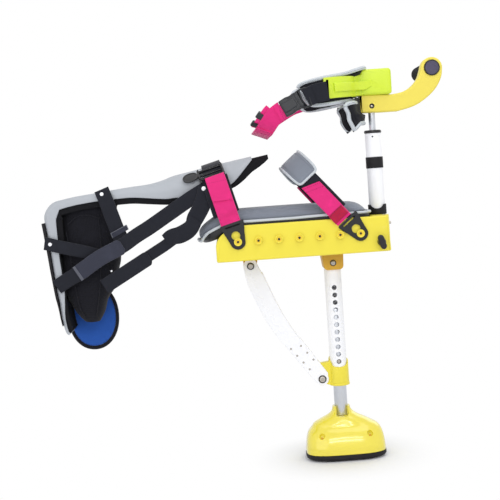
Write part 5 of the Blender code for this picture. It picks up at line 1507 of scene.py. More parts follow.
def axes_between(start, end, across):
    """Half the length of something from start to end, and its place for moved(): middle, along, out and
    across."""
    start, end, across = (floats(v) for v in (start, end, across))
    half = float(np.linalg.norm(end - start)) / 2
    along = (end - start) / (2 * half)
    side = unit(across - across.dot(along) * along)
    return half, ((start + end) / 2, along, np.cross(along, side), side)


def buckle_body(start, end, across, width, thickness):
    """A closed side-release buckle: a rounded body whose sides bow in over two prongs, a raised
    middle, and a seam between body and plug."""
    h, place = axes_between(start, end, across)
    w = width / 2
    outline = mirrored([(h, w * 0.9), (h * 0.5, w * 0.97), (h * 0.15, w * 0.9), (-h * 0.2, w), (-h, w * 0.95)])
    raised = mirrored([(h * 0.5, w * 0.52), (-h * 0.9, w * 0.6)])
    base = mirrored([(h, w * 0.8), (h * 0.62, w * 0.84)])
    parts = [slab(fillet(outline, [2.5, 3, 3, 3, 3.5, 3.5, 3, 3, 3, 2.5], 5), thickness * 0.4, 2.2, steps=5),
             slab(fillet(raised, 4), thickness * 0.5, 2, steps=5),
             slab(fillet(base, 2, 5), thickness * 0.48, 1.6, steps=5)]
    for s in (-1, 1):
        prong = [(-h * 0.1, w * 0.86), (h * 0.6, w * 0.8), (h * 0.6, w * 0.62), (-h * 0.1, w * 0.66)]
        parts.append(slab(fillet(np.array(prong) * (1, s), 1.5, 5)[::s], thickness * 0.44, 1))
    return [moved(p, *place) for p in parts]


def buckle_frame(start, end, across, width, thickness, bars, cheek):
    """A frame buckle: two round-edged cheeks and the bars between them, each bar (place along,
    half its breadth, lift, share of the thickness)."""
    h, place = axes_between(start, end, across)
    w = width / 2
    parts = []
    for s in (-1, 1):
        outer = [(-h + 2, s * w), (h - 1, s * w), (h, s * (w - cheek)), (-h, s * (w - cheek))]
        parts.append(slab(fillet(outer, [3.2, 3.2, 0.6, 0.6])[::-s], thickness / 2, thickness * 0.28, steps=5))
    for at, deep, lift, share in bars:
        rail = mirrored([(at + deep, w - 1.2), (at - deep, w - 1.2)])
        rounding = min(deep * 0.7, thickness * share * 0.42)
        parts.append(slab(fillet(rail, 0.8, 4), thickness * share / 2, rounding, -lift, 5))
    return [moved(p, *place) for p in parts]


# Hook-on straps

def rise_axes(peg_x, rise):
    """The world place of (out, up the rise, along the width) for one strap, and its two axes."""
    up, wide = np.array((rise[0], 0, rise[1])), np.array((rise[1], 0, -rise[0]))
    origin = np.array((peg_x, 0, PEG_Z))

    def place(flat, across=0):
        """Where (out, up) rows lie in the world, moved so far across."""
        flat = floats(flat)
        return origin + flat[..., 0:1] * np.array((0, 1, 0)) + flat[..., 1:2] * up + across * wide

    return place, up, wide


def loop_near(half):
    """The near half of a loop as (out, along) rows, from its hook up to the middle."""
    return through([(-out, along) for out, along in half], 10)


def offset_of(flat):
    """Outward normals of an (out, along) way."""
    t = unit(np.gradient(flat, axis=0))
    return np.stack([-t[:, 1], t[:, 0]], 1)


def loop_whole(half, first=None):
    """The whole loop to the far hook, from a height on the near side or from the near hook."""
    near = loop_near(half)
    way = np.vstack([near, near[::-1][1:] * (-1, 1)])
    if first:
        start = (np.interp(first, near[:, 1], near[:, 0]), first)
        way = np.vstack([[start], way[way[:, 0] > start[0] + 1]])
    return way


def strap_lay(half, peg_x, rise, whole=False):
    """The drawing board of one loop: its near half by height, or all of it by length."""
    place, up, wide = rise_axes(peg_x, rise)
    flat = evenly(loop_whole(half), 240) if whole else evenly(loop_near(half), 160)
    normal = offset_of(flat)
    run = lengths(flat) if whole else flat[:, 1]
    return Lay(run, place(flat), normal[:, :1] * np.array((0, 1, 0)) + normal[:, 1:] * up, wide)


def sewn_box(board, low, high, left, right, lift):
    """Stitches round a box and along its two diagonals."""
    corners = [(low, left), (low, right), (high, right), (high, left), (low, left)]
    lines = [corners[i : i + 2] for i in range(4)]
    lines += [[(low, left), (high, right)], [(low, right), (high, left)]]
    return [board.seam(line, lift) for line in lines]


def hook_plate(name, peg_x, rise, side, body, node):
    """One hook plate with a keyhole and a rolled edge, the peg in the narrow end."""
    place, up, wide = rise_axes(peg_x, rise)

    def flat(outline, half, rounding, steps=2):
        """An outline of (across, up the rise) rows as a slab that lies on the tray's side."""
        return moved(slab(outline, half, rounding, steps=steps), place((side * 77.95, 0)), wide, (0, 1, 0), up)

    outline = np.vstack([[(-23.5, 38.6), (24, 38.6), (22, 27), (18.2, 15)],
                         arc((0, 0), 14.7, 12, -192, 40)[3:-3], [(-18.2, 15), (-21.6, 27)]])
    outline = fillet(outline, [3, 3] + [0] * (len(outline) - 2))
    made = piece(name, flat(outline, 1.5, 0.9, 5), "black_plastic", body, [node], MOULDED)
    keyhole = np.vstack([arc((0, 12.5), 8.6, -58, 238, 40), arc((0, 0), 4.9, 160, 380, 24)])
    shaped(made, flat(keyhole, 5, 0.05), MOULDED)
    slot = fillet([(-15, 30.5), (15, 30.5), (15, 33.5), (-15, 33.5)], 1.2, 4)
    return shaped(made, flat(slot, 5, 0.05), MOULDED)


def low_fold(share):
    """How far the pink webbing stands off over its low fold: up within a few millimetres, then slowly
    back to the loop."""
    return 6 * ease(share / 0.17) * (1 - 0.75 * ease((share - 0.2) / 0.6))


def low_fold_end(share):
    """The same for the doubled layer, which starts at two fifths of that length."""
    return low_fold(0.414 + 0.586 * share)


def clasp_tip(board):
    """The oval tongue beside the frame buckle: a dished plate with a raised rim on a short neck."""
    middle = (143, -47)
    tip = slab(oval(7.4, 14.8, 2.3, 72) + middle, 1.8, 1.4, 3, 5)
    rim = upright(oval(6.6, 13.8, 2.3, 60) + middle, 4.9)
    neck = slab(fillet([(139, -35), (147, -35), (146, -29), (140, -29)], 1.2, 4), 1.9, 1, 2.6)
    return [*board.put(tip), pipe(board.places(rim), 1.3, closed=True, columns=10), *board.put(neck)]


# Brace

def brace_way():
    """The shell's outer side line from the toe, round the heel and up to the calf's edge."""
    heel = arc((-431, 5.5), 37, 176, 92, 5)
    foot = [(-439, -223.5), (-443.5, -219), (-447, -206), (-449.6, -189), (-451.8, -160), (-454.5, -138),
            (-458.5, -94), (-461, -62), (-465, -22)]
    calf = [(-405, 47), (-372, 50.5), (-350, 53), (-300, 58), (-262, 61), (-235, 66.5), (-212, 74), (-175, 81),
            (-140, 88), (-110, 93), (-82, 97.5), (-58, 101)]
    path = through(np.array([*foot, *heel, *calf], float), 6)
    tangent = unit(np.gradient(path, axis=0))
    return path, np.stack([tangent[:, 1], -tangent[:, 0]], 1)


def brace_depths(path):
    """How far the side flanges reach in, the half width, and the corner radius, along the way."""
    x, z = path[:, 0], path[:, 1]
    depth = np.interp(x, [-466, -452, -438, -372, -300, -265, -235, -208, -150, -107, -80, -58],
                      [25, 23, 17, 16, 20, 26, 38, 47, 48, 47, 25, 7])
    foot_depth = np.interp(z, [-221, -189, -173, -157, -141, -94, -63, -16],
                           [6, 7.5, 9, 12, 15.5, 17, 16.5, 22])
    half = np.interp(x, [-470, -400, -260, -200], [46, 46, 48, 54])
    foot_half = np.interp(z, [-229, -180, 0], [38, 44, 46])
    depth, half = np.where(z < 0, foot_depth, depth), np.where(z < 0, foot_half, half)
    for _ in range(8):
        for rows in (depth, half):
            rows[1:-1] = (rows[:-2] + 2 * rows[1:-1] + rows[2:]) / 4
    corner = np.interp(x, [-470, -300, -210, -58], [9, 11, 28, 32])
    return depth, half, np.minimum(corner, depth * 0.75 + 1)


def channel(path, inward, half, depth, corner):
    """U-shaped sections over the back of the leg: quarter-circle corners and two straight flanges."""
    a = np.radians(np.linspace(0, 90, 8))
    across = (half - corner)[:, None] + corner[:, None] * np.cos(a)
    up = corner[:, None] * (1 - np.sin(a))
    flange = up[:, :1] + (depth[:, None] - up[:, :1]) * np.linspace(1, 0, 6)[:-1]
    right = np.concatenate([np.broadcast_to(half[:, None], flange.shape), across], 1)
    rise = np.concatenate([flange, up], 1)
    flat = np.linspace(1, -1, 9)[1:-1] * (half - corner)[:, None]
    y = np.concatenate([-right, -flat, right[:, ::-1]], 1)
    u = np.concatenate([rise, np.zeros_like(flat), rise[:, ::-1]], 1)
    return np.stack([path[:, 0:1] + inward[:, 0:1] * u, y, path[:, 1:2] + inward[:, 1:2] * u], -1)


def cupped(path, inward, half, depth, corner, wall):
    """The brace's channel as a closed wall: its outer line, and one moved in by the wall."""
    outer = channel(path, inward, half, depth - wall * 0.45, corner)
    less = np.maximum(corner - wall, 1.5)
    inner = channel(path + inward * wall, inward, half - wall, depth - wall * 1.45, less)
    return lined(outer, inner, upright(inward, 0))


def brace_shell():
    """The grey shell: the channel with a wall of 3.2 mm, at least 5.5 mm deep."""
    path, inward = brace_way()
    depth, half, corner = brace_depths(path)
    return cupped(path, inward, half, np.maximum(depth, 5.5), corner, 3.2)


def brace_liner():
    """The padded liner: the shell's channel moved in, its flanges standing out of the shell, and a
    soft end that reaches past it behind the knee."""
    path, inward = brace_way()
    depth, half, corner = brace_depths(path)
    path = path + inward * 3.7
    more = np.interp(path[:, 0], [-200, -107, -80, -58], [12, 8, 16, 20])
    depth = np.maximum(depth - 3.7 + np.where(path[:, 1] < -60, 2.5, more), 11)
    corner = np.clip(corner - 3.7, 2, depth - 3.5)
    ends = np.array([(-46, 99.5), (-34, 101.5), (-26, 102.8)])
    path = np.vstack([path[:-1], ends])
    inward = np.vstack([inward[:-1], np.repeat(inward[-1:], 3, 0)])
    depth, half = np.append(depth[:-1], [20, 14, 9]), np.append(half[:-1] - 3.7, [50, 49, 48])
    corner = np.append(corner[:-1], [14, 9, 5])
    return cupped(path, inward, half, depth, corner, 7)


def outsole():
    """The rubber strip along the shell's sole: a flat section that thins towards the toe."""
    path, inward = brace_way()
    foot = (path[:, 1] > -204) & (path[:, 1] < 0) & (path[:, 0] < -440)
    full = np.interp(path[foot, 1], [-204, -176, -150, -60], [0.1, 0.3, 0.7, 1])
    back = path[foot] - inward[foot] * (2.7 * full + 0.2)[:, None]
    return Patch(sweep(rounded(46, 2.7, 1.1, 3, 8), upright(back, 0), (0, 1, 0), 1, full))


def boot_rings(shrink=0):
    """Sections of the foot wrap, with shallow folds round it that deepen towards the heel."""
    rows = through([(-207, -394, 8, 9), (-202, -394, 15, 15), (-185, -396, 27, 24), (-160, -398, 38, 30),
                    (-130, -393, 53, 33), (-98, -390, 57, 34), (-70, -388, 60, 34), (-20, -382, 61, 34),
                    (18, -380, 60, 33), (33, -379, 54, 30)], 8)
    rings = np.array([level(oval(a - shrink, b - shrink, 2.6, 96) + (x, 0), z) for z, x, a, b in rows])
    z, turn = rings[..., 2], np.arange(96) / 96 * math.tau
    fold = 0.9 * np.sin(z / 7.5 + 1.7 * np.sin(turn * 2)) * np.sin(np.clip((z + 204) / 237, 0, 1) * math.pi)
    centre = np.stack([rows[:, 1], np.zeros(len(rows))], 1)[:, None]
    rings[..., :2] += unit(rings[..., :2] - centre) * fold[..., None]
    return rings


def boot_wrap():
    """The soft wrap: outer rings less an inner hollow, open where the shin comes out."""
    made = piece("foot_wrap", Patch(boot_rings()), "black_fabric", "leg_brace", ["boot_wrap"], ROUNDED)
    inner = boot_rings(4)[10:-2]
    inner[0, :, 2] -= 16
    shaped(made, Patch(inner), ROUNDED)
    return shaped(made, block((-360, -24, -40), (-300, 24, 26), 8), ROUNDED)


def toe_oval(half_x, half_z):
    """The toe flap's leaning oval as (x, z) rows."""
    return turned_by(oval(half_x, half_z, 2.1, 96), -1) + (-398, -199)


def seam_pipe(points):
    """A raised seam: a thin round cord through points."""
    return pipe(evenly(through(points, 10), 60), 0.9, columns=8)


BOOT_SEAMS = (
    [(-428, -34.6, -20), (-424, -35, -70), (-420, -34.4, -120), (-414, -30, -170), (-404, -22, -196)],
    [(-364, -34.8, 10), (-362, -35.4, -40), (-366, -34.8, -95), (-374, -31, -150), (-384, -22, -192)],
    [(-424, -34, -6), (-404, -35, 8), (-382, -35.4, 9), (-360, -34.6, 2)],
    [(-423, -34.6, -78), (-404, -35.6, -92), (-384, -35.6, -93), (-366, -34.8, -84)],
)

# Width, the middle line, and the share of it that a second layer covers
BRACE_STRAPS = {
    "ankle_strap": (29, [
        (-351.5, -50.5, 57.5), (-348.5, -51.3, 49), (-344.3, -52, 36.6), (-336.7, -51, 10),
        (-328, -49, -20), (-321, -50, -40)
    ], None),
    "heel_strap": (25, [
        (-469.5, -48, -39.5), (-460, -50.2, -41.5), (-439.9, -51, -47.9), (-411.5, -49, -55.8),
        (-386.9, -44, -63.4), (-370, -40, -70)
    ], None),
    "long_strap_toe": (29, [
        (-452.5, -49.5, -126), (-445, -50.3, -121.5), (-430, -51, -112.8), (-406.8, -51.5, -100.7),
        (-364, -53, -74.5), (-319.7, -54.5, -54.3), (-291.2, -56.5, -36.9), (-262.8, -58.5, -21.4),
        (-222.2, -61, 3), (-181.6, -63.4, 27.3), (-153.4, -64.2, 42.7), (-143, -64.2, 49)
    ], (0.135, 0.43)),
    "long_strap_side": (22, [
        (-362, -45, -129), (-344.3, -49, -119.5), (-289, -53.5, -88.5), (-255, -56, -69.5),
        (-238, -57.4, -60), (-226.1, -58, -52.5), (-205, -60.5, -39), (-184, -63.5, -26),
        (-172.5, -65.5, -8), (-160, -66.8, 12), (-151, -67, 34), (-147, -66.6, 48)
    ], (0, 0.37)),
}


def flat_across(path):
    """The direction across a strap that lies flat in a side view: its way crossed with Y."""
    return unit(np.cross(np.gradient(floats(path), axis=0), (0, 1, 0)))


def brace_tape(name, width, points, doubled):
    """One black strap on its way, wider near its top where it carries the load, with a second layer
    whose upper end is rounded. The strap from the toe is cut to follow the shell's edge."""
    path = evenly(through(points, 12), 110)
    side = name == "long_strap_side"
    wide = 1 + (0.5 * ease((path[:, 0] + 190) / 18) if side else 0)
    across = flat_across(path)
    if name == "long_strap_toe":
        fade = np.exp(-np.linalg.norm(path - path[0], axis=1) / 10)[:, None]
        across = across + unit(np.gradient(path, axis=0)) * 0.33 * fade * np.sign(across[0, 2])
    tape = ribbon(path, across, width, 2.2, wide, wave=0.45, seed=len(name))
    piece(name.replace("strap", "tape"), tape, "black_webbing", "leg_brace", [name])
    if not doubled:
        return
    over = evenly(path, 60, *doubled)
    lay = flat_across(over)
    face = unit(np.cross(np.gradient(over, axis=0), lay))
    face *= -np.sign(face[:, 1:2])
    over = over + face * 2.2 - (lay * 2.6 if side else 0)
    run = np.linalg.norm(over - over[-1], axis=1)
    layer = ribbon(over, lay, width + (7 if side else 2.5), 2, 1 - 0.45 * np.clip(1 - run / 7, 0, 1) ** 2)
    finish = "black_webbing" if side else "doubled"
    piece(name + "_layer", layer, finish, "leg_brace", [name])
    if not side:
        end = ribbon(evenly(over, 8, 0, 0.05) + face[0] * 1.2, lay[0], width + 2, 0.9)
        piece("long_tape_mark", end, "mark", "leg_brace", [name])


# Place and radius of each rivet
RIVETS = ((-351, -53.6, 48.5, 3.6), (-458.4, -51.6, -41.6, 3.6), (-343.6, -54.6, -101.4, 1.9),
          (-153.4, -68.6, 45.6, 4.3))


def rivet(x, y, z, radius):
    """A flat domed rivet that faces the near side."""
    profile = [(0.8, 0), (1, -0.3), (1, -0.8), (0.8, -1.5), (0.3, -1.8)]
    return turned([(radius * share, depth) for share, depth in profile], (x, y, z), "Y", 1, 28)


def tape_bulge():
    """The folded slack at the foot of the upright strap: a soft roll with two flattened ends."""
    points = [(-172, -66, -12), (-186, -68, -30), (-205, -66, -40), (-222, -61, -43), (-234, -58.5, -50)]
    path = evenly(through(points, 12), 60)
    full = np.sin(np.clip(np.linspace(0, 1, 60), 0.03, 0.97) * math.pi)
    return Patch(sweep(oval(16, 3.4, 2.4, 36), path, flat_across(path), 0.82 + 0.22 * full, 0.45 + 0.6 * full))


def knob_patches():
    """The wing knob: a hub, two round lobes across it joined by a leaning bar, and the threaded shank."""
    hub = [(8.2, 0), (8.2, 4), (7.6, 9), (6.6, 13.2), (5.4, 14.6), (2.6, 15)]
    a = np.linspace(0, math.tau, 73)[:-1]
    reach = 5 + 9.4 * np.abs(np.sin(a)) ** 2.2
    wing = turned_by(np.stack([reach * np.cos(a) * 0.92, reach * np.sin(a)], 1), 16) + (181, -80)
    shank = rod((181, -78, -80), (181, -16.4, -80), 3.4, 24, 0.5)
    return [turned(hub, (181, -76.3, -80), "Y", -1, 48), slab(wing, 5, 2.4, -86.8, 6), shank]


# Operators

class WALKER_OT_platform(bpy.types.Operator):
    """Make the platform tray, its strap pegs and the pan under the cushion"""

    bl_idname = "walker.platform"
    bl_label = "Platform"

    def execute(self, context):
        tray_solid()
        piece("tray_peg_row", tray_pegs(), "yellow", "frame", ["platform_tray"])
        # The rings in the pegs' dishes are painted shade
        piece("peg_dishes", peg_row(PEG_DISH_SHADE), "peg_shade", "frame", ["platform_tray"])
        # The dark heads in the pegs' holes are painted shade
        piece("peg_screws", peg_row(PEG_SCREW), "recess_shade", "frame", ["platform_tray"])
        piece("seat_base", pan_rings(), "black_plastic", "frame", ["seat_pan"])
        boot = tube_patch(18.2, 16.25, -29.7, -10, POST_X, top=boot_top)
        piece("post_cuff", boot, "rubber", "frame", ["post_boot"])
        repaint("front_pin", "steel")
        return {"FINISHED"}


class WALKER_OT_cushion(bpy.types.Operator):
    """Make the knee cushion and its piping"""

    bl_idname = "walker.cushion"
    bl_label = "Knee cushion"

    def execute(self, context):
        pull = 1.6
        cushion = piece("knee_pad", cushion_rings(pull), "grey_fabric", "frame", ["knee_cushion"], SOFT)
        puffed(cushion, 5, 5, above_pan)
        radius = setting("piping")
        piping = pipe(seat_rim(0.9, radius * 0.9), radius, closed=True)
        piece("knee_piping", piping, "binding", "frame", ["knee_cushion"], SOFT)
        return {"FINISHED"}


class WALKER_OT_leg(bpy.types.Operator):
    """Make the telescopic leg, its collar and the bolts"""

    bl_idname = "walker.leg"
    bl_label = "Leg"

    def execute(self, context):
        leg_socket()
        leg_tube()
        collar()
        inner = tube_patch(13, 11, -428, -211.7, POLE_X)
        piece("leg_inner", inner, "aluminium", "leg_extension", ["lower_tube"])
        bolted("socket_bolt", (POLE_X, -119), 24, 3.4, 4.7, 3.4, ["leg_socket_bolt"])
        repaint("leg_bush", "black_plastic")
        repaint("button_spring", "steel")
        repaint("snap_button", "steel")
        return {"FINISHED"}


class WALKER_OT_strut(bpy.types.Operator):
    """Make the bowed strut and its two pivots"""

    bl_idname = "walker.strut"
    bl_label = "Strut"

    def execute(self, context):
        strut()
        # The bracket's colour is painted shade: the yellow made darker
        repaint("strut_bracket", "amber")
        bolted("upper_pivot", STRUT_TOP, 12.3, 3.9, 5.4, 3.2, ["strut_upper_bolt"])
        bolted("lower_pivot", STRUT_LOW, 12.3, 3.9, 6, 3.4, ["strut_lower_bolt"])
        return {"FINISHED"}


class WALKER_OT_foot(bpy.types.Operator):
    """Make the rocker foot, its sole and its screws"""

    bl_idname = "walker.foot"
    bl_label = "Foot"

    def execute(self, context):
        foot_shell()
        piece("foot_tread", foot_sole(), "rubber", "leg_extension", ["foot_sole"], ROUNDED)
        screws = ["foot_screw_rear", "foot_screw_front"]
        # The screw heads' colour is painted shade of the wells: the yellow made darker
        piece("foot_screws", foot_screws(), "amber", "leg_extension", screws)
        return {"FINISHED"}


class WALKER_OT_post(bpy.types.Operator):
    """Make the post with its rubber band and top ring"""

    bl_idname = "walker.post"
    bl_label = "Post"

    def execute(self, context):
        wall = tube_patch(15.75, 13.95, -92, 131, POST_X, columns=96)
        post = piece("post_outer", wall, "paint", "post", ["post_tube"])
        shaped(post, pin(POST_X - 3, 124, -20, -8, 1.7, 24))
        band = tube_patch(17, 16.05, 62, 84, POST_X, 0.4, columns=96)
        piece("post_sleeve", band, "rubber", "post", ["post_band"])
        ring = [(7, 131.3), (16.4, 131.3), (17, 131.9), (17, 135), (16.2, 136.5), (15.2, 137), (7, 137)]
        piece("post_cap", hoop(ring, POST_X), "black_plastic", "post", ["post_ring"])
        repaint("post_bush", "black_plastic")
        return {"FINISHED"}


class WALKER_OT_handle(bpy.types.Operator):
    """Make the handle's inner tube, arm and grip"""

    bl_idname = "walker.handle"
    bl_label = "Handle"

    def execute(self, context):
        handle_arm()
        piece("grip_sleeve", grip_body(), "foam", "handle", ["grip"])
        rim = [(13.2, -11.3), (15.2, -11.3), (15.3, -14.6), (15.1, -15.5), (14.7, -15.9), (14.2, -15.9),
               (13.9, -15.3)]
        face = [(13.9, -13), (13.9, -15), (13.2, -15.3), (9, -15.5), (3, -15.6)]
        end = [(15.4, 128.3), (15.4, 130), (14.6, 132.2), (12.4, 133.6), (8, 134)]
        piece("grip_rim", grip_turned(rim), "black_plastic", "handle", ["grip_cap_near"])
        piece("grip_face", grip_turned(face), "grip_disc", "handle", ["grip_cap_near"])
        piece("grip_end", grip_turned(end), "black_plastic", "handle", ["grip_cap_far"])
        repaint("handle_tube", "aluminium")
        repaint("tube_glide", "black_plastic")

        def both_sides(profile, columns):
            """A turned shape at both ends of the arm's bolt."""
            return [turned(profile, (POST_X, 0, ARM_BOLT_Z), "Y", side, columns) for side in (-1, 1)]

        bolt = [pin(POST_X, ARM_BOLT_Z, -9.4, 9.4, 2.4, 24)]
        bolt += both_sides([(2.3, 9.2), (2.5, 10.6), (1.9, 11.6), (0.8, 11.9)], 24)
        piece("arm_pin", bolt, "steel", "handle", ["arm_bolt"])
        # The wells' near-black rings are painted shade of the recesses round the bolt
        wells = both_sides([(5.15, 8.6), (5.1, 9.6), (3.9, 9.3), (3.7, 9.2)], 36)
        piece("arm_wells", wells, "recess_shade", "handle", ["arm_bolt"])
        return {"FINISHED"}


class WALKER_OT_cuff(bpy.types.Operator):
    """Make the thigh bracket, its pad and flap"""

    bl_idname = "walker.cuff"
    bl_label = "Thigh cuff"

    def execute(self, context):
        thigh_bracket()
        pull = 1.2
        band = thigh_band(5.8 + pull, 15 - 2 * pull, 197.5 + pull, 250.5 - pull)
        pad = piece("thigh_cushion", band, "black_fabric", "handle", ["thigh_pad"], SOFT)
        puffed(pad, 3, 4, clear_of_bracket)
        flap = piece("thigh_skirt", skirt(), "black_fabric", "handle", ["thigh_flap"], SOFT)
        edge, wavy = band_edge(9, 199, 250.5), skirt_edge()
        rims = [pipe(edge, 3.7, closed=True, columns=14), pipe(wavy, 4, closed=True)]
        piece("thigh_binding", rims, "binding", "handle", ["thigh_pad"], SOFT)
        seams = [stitches(way, np.column_stack([way[:, 0] - 60, way[:, 1] * 1.18, way[:, 2] * 0]), lift)
                 for way, lift in ((edge, 3.6), (wavy, 3.9))]
        piece("thigh_thread", seams, "mark", "handle", ["thigh_pad"])
        return {"FINISHED"}


class WALKER_OT_thigh_strap(bpy.types.Operator):
    """Make the thigh strap: black webbing, two buckles and pink webbing"""

    bl_idname = "walker.thigh_strap"
    bl_label = "Thigh strap"

    def execute(self, context):
        board = thigh_lay()
        at = {x: board_run(board, x) for x in (94, 58, 50, 41, 38.5, 6, 4)}
        tape = board.put(strip(at[94], at[50], 36, -0.5, count=40),
                         strip(at[50] - 16, at[50] - 0.5, 35, -0.5, 2.3))
        piece("thigh_tape", tape, "black_webbing", "handle", ["thigh_webbing"])
        ends = board.places([(at[38.5], 1.6, -0.5), (at[58], 1.6, -0.5)])
        lock = buckle_frame(*ends, (0.2, 0, 1), 38, 6, LOCK_BARS, 3.4)
        piece("thigh_lock", lock, "grey_plastic", "handle", ["thigh_ladder_lock"])
        ends = board.places([(at[6], 1.2, 0), (at[41], 1.2, 0)])
        clasp = buckle_body(*ends, (0.5, 0, 1), 35, 12)
        piece("thigh_clasp", clasp, "grey_plastic", "handle", ["thigh_buckle_socket", "thigh_buckle_plug"])
        start, end = at[4], board.run[-1]
        web = board.put(strip(start, end, 34, lean=(-0.16, 0), count=140),
                        strip(start, start + 9, 33.4, 0, 2.3, lean=(-0.16, -0.16)),
                        strip(start + 52, start + 66, 33.6, 0, 2.3, lean=(0.2, 0.2), count=20),
                        strip(start + 14, start + 66, 17, 17, -2.6, lean=(0.1, 0.3), count=30))
        piece("thigh_band_pink", web, "pink", "handle", ["thigh_strap"])
        keepers = board.put(*(strip(start + low, start + low + 10, 17, 21, -2.6, 6.4, (0.15, 0.15), 10)
                              for low in (30, 51)))
        piece("thigh_keepers", keepers, "grey_plastic", "handle", ["thigh_strap"])
        threads = [board.seam([(start + low, -15), (start + low + lean, 15)], 3.5)
                   for low, lean in ((4.4, -4.8), (53.5, 6), (64, 6))]
        piece("thigh_hem", threads, "pink_thread", "handle", ["thigh_strap"])
        return {"FINISHED"}


class WALKER_OT_front_strap(bpy.types.Operator):
    """Make the front strap loop: hooks, pink webbing and grey pad"""

    bl_idname = "walker.front_strap"
    bl_label = "Front strap"

    def execute(self, context):
        body = "front_strap_loop"
        hook_plate("front_plate_near", FRONT_PEG_X, FRONT_RISE, -1, body, "front_hook_near")
        hook_plate("front_plate_far", FRONT_PEG_X, FRONT_RISE, 1, body, "front_hook_far")
        board = strap_lay(FRONT_LOOP, FRONT_PEG_X, FRONT_RISE, True)
        end = board.run[-1]
        web, tabs, threads = [], [], []
        for hook, flip, lean in ((0, 1, (0, -0.42)), (end, -1, (0.42, 0))):
            def span(first, last):
                """Two places along, measured from this hook, in rising order."""
                return sorted((hook + flip * first, hook + flip * last))

            web += [strip(*span(2, 96), 34, -4.5, 0, lean=lean), strip(*span(28, 95), 34, -4.5, 2.2, lean=lean)]
            tabs.append(strip(*span(7.5, 27), 33, -6, 2.3))
            threads += [board.seam([(hook + flip * at, -21), (hook + flip * at, 9)], 3.5) for at in (8.6, 26)]
            threads += sewn_box(board, *span(9, 25.6), -21, 9, 3.5)
            threads += [board.seam([(hook + flip * at, -20), (hook + flip * (at - 12.2), 10)], 3.4)
                        for at in (98, 89.5)]
        piece("front_band", board.put(*web), "pink", body, ["front_strap"])
        # The tabs' darker pink is painted shade
        piece("front_tabs", board.put(*tabs), "red", body, ["front_strap"])
        piece("front_thread", threads, "pink_thread", body, ["front_strap"])
        backing = board.put(strip(22, end - 22, 37, 0, -2.4, count=120))
        piece("front_backing", backing, "black_webbing", body, ["front_strap"])
        length, width, middle, across = end - 2 * 109, 48, end / 2, 2.5
        cushion = board.put(pillow(length, width, 9, (middle, across), -1, 9, 90))
        pad = piece("front_cushion", cushion, "grey_fabric", body, ["front_pad"], SOFT)
        rim = oval(length / 2 + 0.6, width / 2 + 0.4, 9, 300) + (middle, across)
        piping = pipe(board.places(upright(rim, 1.4)), 2.5, closed=True)
        piece("front_piping", piping, "binding", body, ["front_pad"], SOFT)
        low, high = middle - length / 2 + 8, middle + length / 2 - 8
        quilt = [board.seam([(low, t), (high, t)], 3.6, 90) for t in (-14.5, 19.5)]
        piece("front_quilting", quilt, "mark", body, ["front_pad"])
        return {"FINISHED"}


class WALKER_OT_rear_strap(bpy.types.Operator):
    """Make the rear strap loop: hooks, sewn pink webbing, buckle and black webbing"""

    bl_idname = "walker.rear_strap"
    bl_label = "Rear strap"

    def execute(self, context):
        body = "rear_strap_loop"
        place, up, wide = rise_axes(REAR_PEG_X, REAR_RISE)
        hook_plate("rear_plate_near", REAR_PEG_X, REAR_RISE, -1, body, "rear_hook_near")
        hook_plate("rear_plate_far", REAR_PEG_X, REAR_RISE, 1, body, "rear_hook_far")
        board = strap_lay(REAR_LOOP, REAR_PEG_X, REAR_RISE)
        web = board.put(strip(38.5, 53, 39, -1.5, 0.4, lean=(0, 0.15)),
                        strip(49.5, 134, 39, -1.5, 0.4, bulge=low_fold, count=70),
                        strip(84.5, 134, 39, -1.5, 2.9, lean=(-0.2, 0), bulge=low_fold_end, count=40))
        piece("rear_band", web, "pink", body, ["rear_strap_near"])
        threads = [board.seam([(at + 3.6, -19), (at - 0.4, 16)], 5.3) for at in (119, 87.2)]
        threads += [board.seam([(42.5, t), (51, t)], 1.8, 12) for t in (-18.5, 15.5)]
        piece("rear_thread", threads, "pink_thread", body, ["rear_strap_near"])
        backing = board.put(strip(57, 132, 52, -3.5, -2.6, count=40))
        piece("rear_backing", backing, "black_webbing", body, ["rear_strap_near"])
        ends = board.places([(127.5, 2.4, -6), (152, 3, -6.4)])
        clasp = buckle_frame(*ends, wide, 52, 7.5, BUCKLE_BARS, 4.8)
        piece("rear_clasp", clasp, "gloss_black", body, ["rear_buckle_socket", "rear_buckle_plug"])
        piece("rear_clasp_tip", clasp_tip(board), "gloss_black", body, ["rear_buckle_plug"])
        far = ribbon(place(loop_whole(REAR_LOOP, 134), -2), wide, 38)
        piece("rear_band_far", far, "black_webbing", body, ["rear_strap_far"])
        return {"FINISHED"}


class WALKER_OT_brace(bpy.types.Operator):
    """Make the lower-leg brace: shell, liner, outsole, foot wrap and toe flap"""

    bl_idname = "walker.brace"
    bl_label = "Brace"

    def execute(self, context):
        body = "leg_brace"
        piece("calf_shell", brace_shell(), "shell", body, ["brace_shell"])
        liner = piece("calf_liner", brace_liner(), "foam", body, ["brace_liner"], ROUNDED)
        piece("brace_strip", outsole(), "rubber", body, ["brace_outsole"])
        boot_wrap()
        seams = [seam_pipe(points) for points in BOOT_SEAMS]
        piece("wrap_seams", seams, "black_lining", body, ["boot_wrap"], SOFT)
        flap = slab(toe_oval(51, 67), 2.6, 1.8, 42.5, 5)
        piece("toe_panel", flap, "black_lining", body, ["toe_flap"])
        blue = slab(toe_oval(45, 60), 1.3, 1.1, 39.6, 5)
        piece("toe_lining", blue, "blue", body, ["toe_flap"])
        rim = pipe(upright(toe_oval(48.6, 64.4), 39.7), 3.3, (0, 1, 0), closed=True)
        piece("toe_binding", rim, "black_lining", body, ["toe_flap"], SOFT)
        thread = stitches(upright(toe_oval(43.5, 58.5), 38.2), (0, -1, 0))
        piece("toe_thread", thread, "blue_thread", body, ["toe_flap"])
        return {"FINISHED"}


